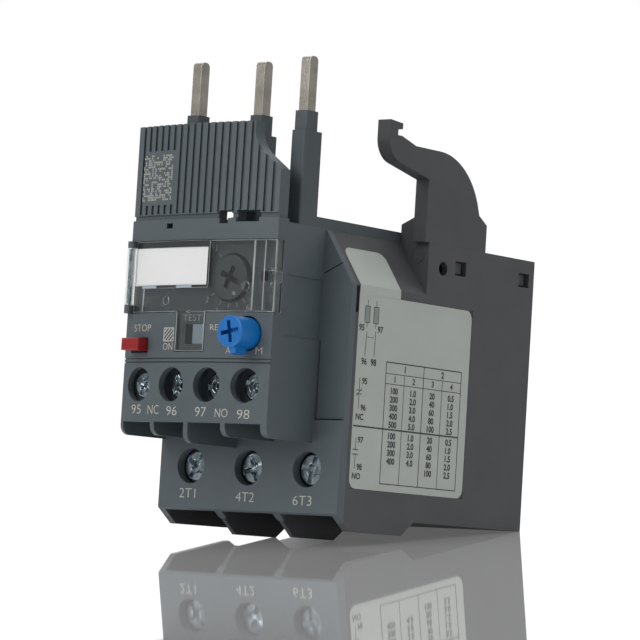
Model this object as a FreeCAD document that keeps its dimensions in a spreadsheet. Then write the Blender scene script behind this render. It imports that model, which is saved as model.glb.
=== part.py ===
import FreeCAD, Part
import Sketcher
import math
import os
import re

# Thermal overload relay, 45 mm wide, that plugs into the load side of a contactor.
# Millimetres.  X runs across the front, Y from the front to the back, Z up.
# Every sub-part is drawn with Y = 0 at the foremost line of the curved front, and its
# Placement then centres the whole relay over the origin, with Z = 0 at its lowest edges.

# Driving sizes: each is written once here and lives in the sheet "Sizes".
SIZES = {
    # outer box and general clearances
    "body_width": 45.0,
    "body_depth": 74.2,
    "housing_top": 59.0,
    "raised_top": 61.0,
    "skin": 1.5,
    "seat": 0.05,
    "running": 0.06,
    "slip": 0.1,
    "free_gap": 0.3,
    "over": 1.0,
    # curved front and the faces stepped back from it
    "front_radius": 108.7,
    "strip_width": 7.1,
    "main_face": 14.8,
    "strip_face": 15.35,
    "strip_gap": 0.25,
    "strip_gap_depth": 0.5,
    "strip_gap_end": 0.6,
    "strip_line_low": 50.3,
    "strip_line_high": 53.1,
    "side_panel_front": 4.8,
    "side_panel_low": 37.5,
    "side_panel_high": 49.1,
    "side_panel_depth": 0.2,
    "seam_face": 16.9,
    # main terminal block
    "main_sill": 4.62,
    "main_head": 22.4,
    "wall_foot": 1.55,
    "wall_foot_front": 18.8,
    "wall_foot_back": 35.0,
    "rear_start": 38.7,
    "rear_floor": 4.34,
    "barrier_foot_front": 20.5,
    "barrier_foot_back": 32.7,
    "barrier": 1.0,
    "cell_back": 36.6,
    "cell_top": 21.5,
    "chamber_floor": 23.5,
    "facet_low": 48.6,
    "facet_back": 38.66,
    "main_margin": 1.2,
    "main_lip": 0.5,
    "main_lip_top": 7.0,
    "main_axis": 12.9,
    "main_well": 3.45,
    "main_head_radius": 3.1,
    "main_head_face": 16.5,
    "main_head_depth": 2.1,
    "main_slot_angle": 35.0,
    "main_shank": 2.0,
    "main_partition": 1.6,
    "partition_foot": 6.6,
    "main_bar_face": 28.0,
    "main_bar": 1.3,
    "main_bar_width": 6.2,
    "main_bar_foot": 7.6,
    "main_cage_height": 7.0,
    "main_cage_wall": 1.4,
    "main_wire_gap": 5.1,
    "screw_slot": 1.0,
    "screw_edge": 0.45,
    "screw_socket": 1.35,
    "screw_socket_depth": 1.1,
    # control terminal block
    "control_foot": 18.0,
    "control_sill": 20.5,
    "control_corner": 2.0,
    "control_skin": 1.5,
    "control_cell_top": 31.4,
    "control_margin": 1.1,
    "control_shift": 0.3,
    "control_wall": 1.1,
    "control_axis": 27.7,
    "control_well": 3.3,
    "control_head_radius": 2.7,
    "control_head_face": 3.4,
    "control_head_depth": 1.2,
    "control_slot_angle": 28.0,
    "control_shank": 1.5,
    "control_partition": 0.7,
    "control_partition_foot": 22.8,
    "control_bar_face": 8.9,
    "control_bar": 0.7,
    "control_bar_width": 4.2,
    "control_bar_foot": 23.4,
    "control_cage_height": 5.6,
    "control_cage_wall": 0.8,
    "control_wire_gap": 4.1,
    "cage_ahead": 0.3,
    "middle_wall_foot": 16.6,
    "middle_wall_front": 0.1,
    "line_level": 32.35,
    "line_width": 0.25,
    "line_spread": 0.35,
    "line_depth": 0.3,
    "works_floor": 33.2,
    "works_top": 57.6,
    "front_wall": 3.4,
    # clear cover, its hinge and the marker plate
    "cover_low": 41.5,
    "cover_high": 55.5,
    "cover_recess": 2.2,
    "cover_skin": 0.95,
    "cover_play": 0.15,
    "hinge_inset": 0.8,
    "hinge_y": 1.45,
    "cover_inset": 1.9,
    "knuckle": 0.75,
    "hinge_pin": 0.4,
    "lug_low_top": 43.1,
    "lug_high_foot": 54.3,
    "lug_back": 5.5,
    "tongue_left": -8.1,
    "tongue_right": -0.55,
    "tongue_foot": 34.1,
    "marker_inset": 1.7,
    "marker_right": -0.6,
    "frame_width": 0.5,
    "frame_strip": 2.9,
    "frame_proud": 0.2,
    "marker_low": 46.8,
    "marker_high": 54.1,
    "marker_thick": 0.5,
    "seal_inset": 1.65,
    "seal_ring": 1.6,
    "seal_z": 48.45,
    "seal_width": 2.2,
    "seal_height": 1.9,
    "cover_rib": 0.3,
    "cover_rib_proud": 0.2,
    "rib_first_inset": 4.8,
    "rib_last_inset": 2.4,
    # setting dial
    "dial_inset": 11.4,
    "dial_z": 48.3,
    "dial_radius": 4.3,
    "dial_face": 1.55,
    "dial_depth": 0.95,
    "dial_rim": 0.15,
    "dial_stem": 2.0,
    "dial_slot": 1.1,
    "dial_slot_length": 4.6,
    "dial_slot_depth": 0.6,
    "dial_slot_angle": 24.0,
    "cam_face": 3.95,
    "cam_back": 5.8,
    "cam_radius": 2.7,
    "cam_offset": 0.5,
    # stop button
    "stop_inset": 4.35,
    "stop_z": 35.3,
    "stop_width": 4.5,
    "stop_height": 2.4,
    "stop_face": -1.45,
    "stop_mouth": 0.25,
    "stop_mouth_depth": 1.0,
    "stop_flange": 0.45,
    "stop_flange_face": 5.6,
    "stop_flange_depth": 0.8,
    "stop_travel": 1.5,
    "stop_round": 0.4,
    # reset knob and plunger
    "reset_inset": 5.7,
    "reset_z": 37.5,
    "knob_radius": 3.05,
    "knob_mouth": 0.3,
    "knob_proud": 4.6,
    "knob_back": 3.0,
    "knob_cap": 2.0,
    "pointer_width": 1.3,
    "pointer_reach": 4.2,
    "pointer_face": 4.2,
    "pointer_back": 0.8,
    "knob_edge": 0.3,
    "knob_slot": 0.8,
    "knob_slot_length": 4.2,
    "knob_slot_depth": 1.5,
    "knob_angle": -11.0,
    "plunger_radius": 1.6,
    "plunger_flange": 3.9,
    "plunger_flange_face": 4.4,
    "plunger_flange_depth": 0.8,
    "plunger_back": 15.4,
    "guide_face": 11.0,
    "guide_depth": 1.4,
    "guide_reach": 2.4,
    "guide_high": 41.4,
    "spring_wire": 0.2,
    "spring_radius": 1.95,
    "spring_length": 3.2,
    "spring_pitch": 0.85,
    # test slider
    "test_left": -5.9,
    "test_right": -1.2,
    "test_low": 35.5,
    "test_high": 39.4,
    "test_nub": 2.8,
    "test_travel": 1.6,
    "test_plate_face": 4.0,
    "test_plate": 0.8,
    "test_plate_border": 0.8,
    "rail": 0.7,
    # ribbed shroud over the front edge
    "shroud_top": 78.1,
    "shroud_inset": 0.25,
    "shroud_margin": 0.4,
    "shroud_thick": 2.75,
    "rib_foot": 60.5,
    "rib_foot_inset": 0.4,
    "band_top": 59.6,
    "groove_count": 20,
    "groove_inset": 1.53,
    "groove_angle": 0.955,
    "groove_width": 0.75,
    "groove_depth": 0.5,
    "groove_foot": 60.7,
    "plain_width": 9.4,
    "plain_low": 62.5,
    "plain_high": 73.1,
    "notch_x": 8.7,
    "notch_corner": 73.75,
    "notch_low": 68.45,
    "notch_round": 6.0,
    "gate_left": 0.87,
    "gate_right": 4.3,
    "gate_top": 61.05,
    "gate_throat": 0.7,
    "gate_foot": 58.5,
    "port_left": 5.5,
    "port_right": 10.9,
    "port_foot": 58.8,
    "peep_left": -12.3,
    "peep_right": -10.6,
    "peep_low": 57.8,
    "peep_high": 58.8,
    # contact pins, their columns and the top cover
    "pin_draw": 0.95,
    "pin_width": 2.15,
    "pin_depth": 2.4,
    "pin_tip": 91.5,
    "pin_round": 0.95,
    "outer_pin_face": 8.3,
    "middle_pin_face": 11.2,
    "column_width": 3.5,
    "column_front": 1.0,
    "column_back": 1.9,
    "column_top": 77.1,
    "column_round": 0.5,
    "sleeve_width": 3.24,
    "sleeve_wall": 0.55,
    "sleeve_top": 80.9,
    "lead_foot": 58.6,
    "lead": 1.2,
    "lead_drop": 7.5,
    "lead_back": 22.0,
    "raised_front": 13.2,
    "raised_back": 57.2,
    "lid_foot": 57.8,
    "tab": 1.2,
    "tab_width": 3.0,
    "tab_foot": 53.9,
    "tab_nose": 0.5,
    # mounting hook
    "hook_thick": 3.1,
    "hook_front": 37.4,
    "hook_arm": 5.9,
    "hook_arm_rise": 2.85,
    "hook_tip_rise": 4.1,
    "hook_tip_fall": 0.3,
    "hook_tip_thick": 1.15,
    "hook_notch": 1.3,
    "hook_nose": 24.3,
    "hook_tip_back": 28.2,
    "hook_barb": 26.8,
    "hook_shoulder_front": 32.7,
    "hook_shoulder": 77.1,
    "hook_crest": 50.6,
    "hook_heel": 54.5,
    "hook_heel_top": 66.1,
    "hook_heel_low": 64.4,
    "hook_inner_round": 4.6,
    "hook_outer_round": 14.0,
    "foot_top": 61.2,
    "gusset": 2.0,
    "gusset_low": 62.6,
    "stud_radius": 1.2,
    "stud_inset": 2.6,
    "stud_first": 46.0,
    "stud_last": 53.0,
    # thermal works
    "bimetal_face": 52.0,
    "bimetal": 0.9,
    "bimetal_width": 6.0,
    "bimetal_drop": 9.4,
    "bar_level": 25.1,
    "bar_back": 54.5,
    "pillar": 4.0,
    "winding": 0.9,
    "winding_gap": 0.4,
    "winding_height": 2.2,
    "winding_first": 29.0,
    "winding_pitch": 3.4,
    "strap": 1.0,
    "strap_width": 2.15,
    # trip works
    "slide_height": 2.4,
    "slide_drop": 0.8,
    "slide_depth": 2.0,
    "slide_arm": 2.0,
    "slide_tip": 23.9,
    "lever_y": 22.6,
    "lever_z": 42.0,
    "lever_pin": 1.0,
    "lever_hub": 2.1,
    "lever_arm": 1.6,
    "lever_arm_half": 2.6,
    "lever_foot": 35.0,
    "lever_reset_face": 18.0,
    "lever_reset_foot": 43.0,
    "lever_reset_top": 46.0,
    "cheek": 1.4,
    "cheek_front": 18.6,
    "cheek_back": 38.0,
    "bridge_foot": 28.0,
    "table_front": 30.0,
    "table": 1.4,
    "lip": 1.2,
    # auxiliary contacts
    "contact_level": 34.35,
    "contact_height": 1.4,
    "contact_tip": 35.1,
    "contact_width": 3.2,
    "contact_gap": 1.25,
    "blade": 0.7,
    "carrier_face": 12.2,
    "carrier_inset": 1.9,
    "carrier_depth": 1.8,
    "carrier_right": 6.2,
    "carrier_foot": 33.5,
    "carrier_top": 36.4,
    "finger": 1.0,
    # details of the right side
    "latch_width": 3.6,
    "latch_low": 53.5,
    "latch_high": 56.3,
    "latch_first": 49.3,
    "latch_inset": 3.5,
    "side_hole": 1.37,
    "side_hole_y": 43.6,
    "side_hole_z": 54.3,
    "side_slot_low": 43.2,
    "side_slot_high": 48.3,
    "side_slot_depth": 0.8,
    "side_slot_width": 0.9,
    "label_front": 17.9,
    "label_back": 54.1,
    "label_low": 9.7,
    "label_high": 47.0,
    "label_depth": 0.15,
}

# Sizes that follow the ones above; they stand in the same sheet.
TIED = {
    # what follows the body's width
    "control_right": "body_width / 2 - strip_width",
    "main_pitch": "(body_width - main_margin) / 3",
    "control_pitch": "(body_width / 2 + control_right - control_margin) / 4",
    "control_middle": "(control_right - body_width / 2) / 2 - control_shift",
    "control_cell": "control_pitch - control_wall",
    "pin_pitch": "main_pitch - pin_draw",
    "hinge_x": "hinge_inset - body_width / 2",
    "cover_left": "cover_inset - body_width / 2",
    "marker_left": "marker_inset - body_width / 2",
    "stop_x": "stop_inset - body_width / 2",
    "groove_first": "groove_inset - body_width / 2",
    "carrier_left": "carrier_inset - body_width / 2",
    "plain_left": "groove_first + groove_width + free_gap",
    "plain_right": "plain_left + plain_width",
    "seal_x": "control_right - seal_inset",
    "cover_rib_first": "control_right - rib_first_inset",
    "cover_rib_last": "control_right - rib_last_inset",
    "dial_x": "control_right - dial_inset",
    "reset_x": "control_right - reset_inset",
    "guide_left": "reset_x - guide_reach",
    "lever_reset_inner": "reset_x - finger - free_gap",
    "stud_x": "control_right + stud_inset",
    "slide_half": "main_pitch + bimetal_width / 2",
    "cheek_inner": "main_pitch - main_bar_width / 2 - free_gap - cheek",
    "lever_half": "cheek_inner - 2 * slip",
    # what follows the body's depth and height
    "latch_last": "body_depth - latch_inset",
    "lead_end": "housing_top - lead_drop",
    "bimetal_top": "housing_top - bimetal_drop",
    "slide_foot": "bimetal_top - slide_height - slide_drop",
    "lever_top": "slide_foot + slide_height - 2 * slip",
    "cheek_top": "slide_foot - slip - table / 2",
    "hook_neck": "hook_shoulder - hook_arm",
    "hook_slope": "hook_neck + hook_arm_rise",
    "hook_tip": "hook_shoulder + hook_tip_rise",
    "hook_tip_rear": "hook_tip - hook_tip_fall",
    "hook_barb_high": "hook_tip_rear - hook_tip_thick",
    "hook_barb_low": "hook_barb_high - hook_notch",
    "hook_fall": "hook_shoulder - hook_heel_top",
    "hook_face": "sqrt(hook_fall ^ 2 + (hook_heel - hook_crest) ^ 2)",
    "hook_widest_round": "hook_face * hook_fall / (hook_face - hook_heel + hook_crest)",
}

CENTRE_Y = "(knob_proud - body_depth) / 2"
HALF = "body_width / 2"
POLES = (1, 2, 3)
CONTROLS = (1, 2, 3, 4)

doc = FreeCAD.newDocument("OverloadRelay")
sheet = doc.addObject("Spreadsheet::Sheet", "Sizes")
working = doc.addObject("Spreadsheet::Sheet", "Working")
nodes = {}


def fill_sheet():
    """Write every driving size and what follows it into the sheet, one named cell each."""
    cells = {**SIZES, **TIED}
    for row, alias in enumerate(cells, start=1):
        sheet.set("A%d" % row, alias)
        sheet.setAlias("B%d" % row, alias)
    for row, (alias, content) in enumerate(cells.items(), start=1):
        sheet.set("B%d" % row, str(content) if alias in SIZES else "=" + content)
    doc.recompute()


def bound(text):
    """Turn a formula in size names into an expression on the sheet's cells."""
    def cell(match):
        word = match.group(0)
        return "Sizes." + word if word in SIZES or word in TIED else word
    return re.sub(r"[A-Za-z_]\w*", cell, str(text))


def bind(obj, **formulas):
    """Bind properties of an object to formulas; a double underscore stands for a dot."""
    for name, text in formulas.items():
        obj.setExpression(name.replace("__", "."), bound(text))
    return obj


def move_to(obj, x, y, z):
    """Bind an object's position."""
    return bind(obj, Placement__Base__x=x, Placement__Base__y=y, Placement__Base__z=z)


def box(name, x, y, z):
    """A box given by its lowest and highest formula along each axis."""
    obj = doc.addObject("Part::Box", name)
    bind(obj, Length="(%s) - (%s)" % (x[1], x[0]), Width="(%s) - (%s)" % (y[1], y[0]),
         Height="(%s) - (%s)" % (z[1], z[0]))
    return move_to(obj, x[0], y[0], z[0])


TURNS = {
    "X": FreeCAD.Rotation(FreeCAD.Vector(0, 1, 0), 90),
    "Y": FreeCAD.Rotation(FreeCAD.Vector(1, 0, 0), -90),
    "Z": FreeCAD.Rotation(),
}


def rod(name, axis, start, radius, length):
    """A round rod that starts at a point and runs along +X, +Y or +Z."""
    obj = doc.addObject("Part::Cylinder", name)
    obj.Placement = FreeCAD.Placement(FreeCAD.Vector(), TURNS[axis])
    bind(obj, Radius=radius, Height=length)
    return move_to(obj, *start)


def fuse(name, *parts):
    """Join solids into one."""
    obj = doc.addObject("Part::MultiFuse", name)
    obj.Shapes = list(parts)
    obj.Refine = True
    return obj


def cut(name, base, *tools):
    """Take tools away from a base."""
    obj = doc.addObject("Part::Cut", name)
    obj.Base = base
    obj.Tool = tools[0] if len(tools) == 1 else fuse(name + "Tools", *tools)
    obj.Refine = True
    return obj


PLANES = {"XY": "XY_Plane", "XZ": "XZ_Plane", "YZ": "YZ_Plane"}


def origin_plane(body, plane):
    """One of the body's own three origin planes."""
    return [f for f in body.Origin.OriginFeatures if f.Role == PLANES[plane]][0]


def outline_sketch(body, name, plane, points, offset):
    """A closed outline of straight sides whose corners are all bound to formulas."""
    sketch = body.newObject("Sketcher::SketchObject", name)
    sketch.AttachmentSupport = [(origin_plane(body, plane), "")]
    sketch.MapMode = "FlatFace"
    sketch.setExpression("AttachmentOffset.Base.z", bound(offset))
    count = len(points)
    rough = [FreeCAD.Vector(value(u), value(v), 0) for u, v in points]
    for i in range(count):
        sketch.addGeometry(Part.LineSegment(rough[i], rough[(i + 1) % count]), False)
    for i in range(count):
        sketch.addConstraint(Sketcher.Constraint("Coincident", i, 2, (i + 1) % count, 1))
    for i, (u, v) in enumerate(points):
        hold(sketch, "Across%d" % i, "DistanceX", (-1, 1, i, 1), u)
        hold(sketch, "Along%d" % i, "DistanceY", (-1, 1, i, 1), v)
    return sketch


def hold(sketch, name, kind, where, text):
    """Add a named dimension to a sketch and bind it to a formula."""
    index = sketch.addConstraint(Sketcher.Constraint(kind, *where, value(text)))
    sketch.renameConstraint(index, name)
    sketch.setExpression("Constraints." + name, bound(text))


def value(text):
    """A formula's present value, worked out in a cell of the second sheet."""
    working.set("A1", "=" + bound(text))
    working.recompute()
    return float(working.get("A1"))


def prism(name, plane, points, low, high):
    """A body padded from an outline, between two levels across its plane.

    An XZ outline faces -Y, so it is drawn at the far level and padded forwards.
    """
    body = doc.addObject("PartDesign::Body", name)
    offset = "-(%s)" % high if plane == "XZ" else low
    sketch = outline_sketch(body, name + "Outline", plane, points, offset)
    pad = body.newObject("PartDesign::Pad", name + "Pad")
    pad.Profile = sketch
    bind(pad, Length="(%s) - (%s)" % (high, low))
    doc.recompute()
    return body


def curved_plate(name, x, z, outer, inner=None, back=None):
    """A body behind the curved front, from one inset to another or to a flat back."""
    body = doc.addObject("PartDesign::Body", name)
    sketch = body.newObject("Sketcher::SketchObject", name + "Plan")
    sketch.AttachmentSupport = [(origin_plane(body, "XY"), "")]
    sketch.MapMode = "FlatFace"
    sketch.setExpression("AttachmentOffset.Base.z", bound(z[0]))
    radius = value("front_radius")
    left, right = value(x[0]), value(x[1])

    def arc(inset):
        reach = radius - value(inset)
        angles = [-math.acos(max(-1.0, min(1.0, end / reach))) for end in (left, right)]
        circle = Part.Circle(FreeCAD.Vector(0, radius, 0), FreeCAD.Vector(0, 0, 1), reach)
        curve = sketch.addGeometry(Part.ArcOfCircle(circle, angles[0], angles[1]), False)
        sketch.addConstraint(Sketcher.Constraint("PointOnObject", curve, 3, -2))
        hold(sketch, "Centre%d" % curve, "DistanceY", (-1, 1, curve, 3), "front_radius")
        hold(sketch, "Radius%d" % curve, "Radius", (curve,), "front_radius - (%s)" % inset)
        hold(sketch, "Left%d" % curve, "DistanceX", (-1, 1, curve, 1), x[0])
        hold(sketch, "Right%d" % curve, "DistanceX", (-1, 1, curve, 2), x[1])
        ends = [FreeCAD.Vector(end, radius - math.sqrt(reach ** 2 - end ** 2), 0)
                for end in (left, right)]
        return curve, ends

    face, face_ends = arc(outer)
    if inner is not None:
        rear, rear_ends = arc(inner)
        sides = [(0, 1), (1, 2)]
        for k, vertex in sides:
            line = sketch.addGeometry(Part.LineSegment(face_ends[k], rear_ends[k]), False)
            sketch.addConstraint(Sketcher.Constraint("Coincident", line, 1, face, vertex))
            sketch.addConstraint(Sketcher.Constraint("Coincident", line, 2, rear, vertex))
    else:
        depth = value(back)
        corners = [FreeCAD.Vector(left, depth, 0), FreeCAD.Vector(right, depth, 0)]
        sides = [sketch.addGeometry(Part.LineSegment(face_ends[k], corners[k]), False)
                 for k in (0, 1)]
        rear = sketch.addGeometry(Part.LineSegment(corners[0], corners[1]), False)
        for k, line in enumerate(sides):
            sketch.addConstraint(Sketcher.Constraint("Coincident", line, 1, face, k + 1))
            sketch.addConstraint(Sketcher.Constraint("Vertical", line))
            sketch.addConstraint(Sketcher.Constraint("Coincident", line, 2, rear, k + 1))
        sketch.addConstraint(Sketcher.Constraint("Horizontal", rear))
        hold(sketch, "Back", "DistanceY", (-1, 1, rear, 1), back)
    pad = body.newObject("PartDesign::Pad", name + "Pad")
    pad.Profile = sketch
    bind(pad, Length="(%s) - (%s)" % (z[1], z[0]))
    doc.recompute()
    return body


def round_edges(body, radius, test):
    """Fillet the straight or curved edges of a body whose two ends pass a test."""
    names = []
    for number, edge in enumerate(body.Tip.Shape.Edges, start=1):
        ends = [vertex.Point for vertex in edge.Vertexes]
        if len(ends) == 2 and test(ends[0], ends[1]):
            names.append("Edge%d" % number)
    base = body.Tip
    fillet = body.newObject("PartDesign::Fillet", body.Name + "Round")
    fillet.Base = (base, names)
    bind(fillet, Radius=radius)
    body.Tip = fillet
    doc.recompute()
    return fillet


def near(a, b):
    """Whether two lengths are the same for picking an edge."""
    return abs(a - b) < 1e-4


def node(label, feature):
    """Name a finished sub-part and set its place in the relay."""
    feature.Label = label
    own = dict(feature.ExpressionEngine).get(".Placement.Base.y", "0")
    feature.setExpression("Placement.Base.y", "%s + %s" % (own, bound(CENTRE_Y)))
    nodes[label] = feature
    return feature


def around(centre, half):
    """The lowest and highest formula either side of a centre."""
    return "(%s) - (%s)" % (centre, half), "(%s) + (%s)" % (centre, half)


def grown(span, room):
    """A span of formulas widened at both ends."""
    return "(%s) - (%s)" % (span[0], room), "(%s) + (%s)" % (span[1], room)


def pole_x(k):
    """Where main pole k stands across the width."""
    return "%d * main_pitch" % (k - 2)


def control_x(k):
    """Where control terminal k stands across the width."""
    return "control_middle + %.1f * control_pitch" % (k - 2.5)


def pin_x(k):
    """Where contact pin k stands across the width."""
    return "%d * pin_pitch" % (k - 2)


def pin_face(k):
    """Foremost face of contact pin k; the middle one stands further back."""
    return "middle_pin_face" if k == 2 else "outer_pin_face"


SEAM_FOOT = ("main_sill - (seam_face - main_face) * (main_sill - wall_foot)"
             " / (wall_foot_front - main_face)")
BARRIER_SEAM = ("main_sill * (barrier_foot_front - seam_face)"
                " / (barrier_foot_front - main_face)")
FACET_SHIFT = ("skin * sqrt((housing_top - facet_low) ^ 2 + (body_width / 2 - control_right) ^ 2)"
               " / (housing_top - facet_low)")
MAIN_SEAT = "main_head_face + main_head_depth + seat"
CONTROL_SEAT = "control_head_face + control_head_depth + seat"
MAIN_CAGE_HALF = "main_bar_width / 2 + slip + main_cage_wall"
CONTROL_CAGE_HALF = "control_bar_width / 2 + slip + control_cage_wall"
SHROUD_BACK = "shroud_inset + shroud_thick"
SEAL_FACE = "front_radius - sqrt(front_radius ^ 2 - seal_x ^ 2)"
COVER_Z = ("cover_low + cover_play", "cover_high - cover_play")
TONGUE = ("tongue_left", "tongue_right")
WORKS = ("-body_width / 2 + skin", "control_right - skin")
STOP_X = around("stop_x", "stop_width / 2")
STOP_Z = around("stop_z", "stop_height / 2")
LEAD_TOP = "lead_foot + lead"


def facet_wedge(name, shift, y):
    """What the slanted corner takes off, moved inwards by a shift."""
    low, top = "%s - (%s)" % (HALF, shift), "control_right - (%s)" % shift
    points = [(low, "facet_low"), (HALF + " + over", "facet_low"),
              (HALF + " + over", "housing_top + over"), (top, "housing_top + over"),
              (top, "housing_top")]
    return prism(name, "XZ", points, y[0], y[1])


def pin_opening(name, k, room):
    """The blade's straight way up through whatever surrounds pin k."""
    face = pin_face(k)
    return box(name, around(pin_x(k), "pin_width / 2 + " + room),
               ("%s - %s" % (face, room), "%s + pin_depth + %s" % (face, room)),
               ("lid_foot", "sleeve_top + over"))


def lead_channel(name, k, foot, top):
    """The groove that holds the lead of pin k on its way back."""
    return box(name, around(pin_x(k), "pin_width / 2 + seat"),
               (pin_face(k) + " - seat", "lead_back + seat"), (foot, top))


def main_housing():
    """Rear housing: three bottom-open main cells and the chamber for the works."""
    across = ("-" + HALF, HALF)
    inside = ("-%s + skin" % HALF, HALF + " - skin")
    side = [("seam_face", SEAM_FOOT), ("wall_foot_front", "wall_foot"),
            ("wall_foot_back", "wall_foot"), ("rear_start", "rear_floor"),
            ("body_depth", "rear_floor"), ("body_depth", "housing_top"),
            ("seam_face", "housing_top")]
    block = prism("HousingSide", "YZ", side, across[0], across[1])
    facet = facet_wedge("HousingFacet", "0", ("main_face", "facet_back"))
    room = box("ChamberRoom", inside, ("seam_face - over", "body_depth - skin"),
               ("chamber_floor", "housing_top + over"))
    inner = facet_wedge("ChamberFacet", FACET_SHIFT, ("main_face", "facet_back + skin"))
    chamber = cut("Chamber", room, inner)
    cells = box("MainCells", inside, ("seam_face - over", "cell_back"), ("-over", "cell_top"))
    pit = box("RearPit", inside, ("cell_back + skin", "body_depth - skin"),
              ("rear_floor + skin", "chamber_floor + over"))
    label = box("LabelRecess", (HALF + " - label_depth", HALF + " + over"),
                ("label_front", "label_back"), ("label_low", "label_high"))
    hole = rod("SideHole", "X", (HALF + " - skin - over", "side_hole_y", "side_hole_z"),
               "side_hole", "skin + 2 * over")
    slot = box("SideSlot", (HALF + " - side_slot_depth", HALF + " + over"),
               ("seam_face - over", "seam_face + side_slot_width"),
               ("side_slot_low", "side_slot_high"))
    windows = [box("Window%s%d" % (place, hand),
                   around("%d * (%s - skin / 2)" % (hand, HALF), "skin"),
                   around("latch_" + place, "latch_width / 2"), ("latch_low", "latch_high"))
               for place in ("first", "last") for hand in (-1, 1)]
    lead = lead_channel("CornerChannel", 3, "lead_end", "housing_top + over")
    hollow = cut("HousingHollow", block, facet, chamber, cells, pit, label, hole, slot, lead, *windows)
    wall = [("seam_face", BARRIER_SEAM), ("barrier_foot_front", "0"),
            ("barrier_foot_back", "0"), ("rear_start", "rear_floor"),
            ("rear_start", "cell_top + over"), ("seam_face", "cell_top + over")]
    barriers = [prism("Barrier%d" % k, "YZ", wall, *around("%.1f * main_pitch" % k, "barrier / 2"))
                for k in (-0.5, 0.5)]
    rest = box("HeadRest", grown(inside, "skin / 2"), (MAIN_SEAT, MAIN_SEAT + " + main_partition"),
               ("partition_foot", "cell_top + over"))
    pillars = [box("Pillar%d" % k, around(pole_x(k), "pillar / 2"),
                   ("bar_back - pillar", "bar_back"), ("rear_floor", "bar_level"))
               for k in POLES]
    filled = fuse("HousingFilled", hollow, rest, *(barriers + pillars))
    shanks = [rod("ShankHole%d" % k, "Y", (pole_x(k), MAIN_SEAT + " - over", "main_axis"),
                  "main_shank + slip", "main_partition + 2 * over") for k in POLES]
    slots = [box("BarSlot%d" % k, around(pole_x(k), "main_bar_width / 2 + seat"),
                 ("main_bar_face - seat", "main_bar_face + main_bar + seat"),
                 ("cell_top - over", "chamber_floor + over")) for k in POLES]
    node("main_housing", cut("MainHousing", filled, *(shanks + slots)))


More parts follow.
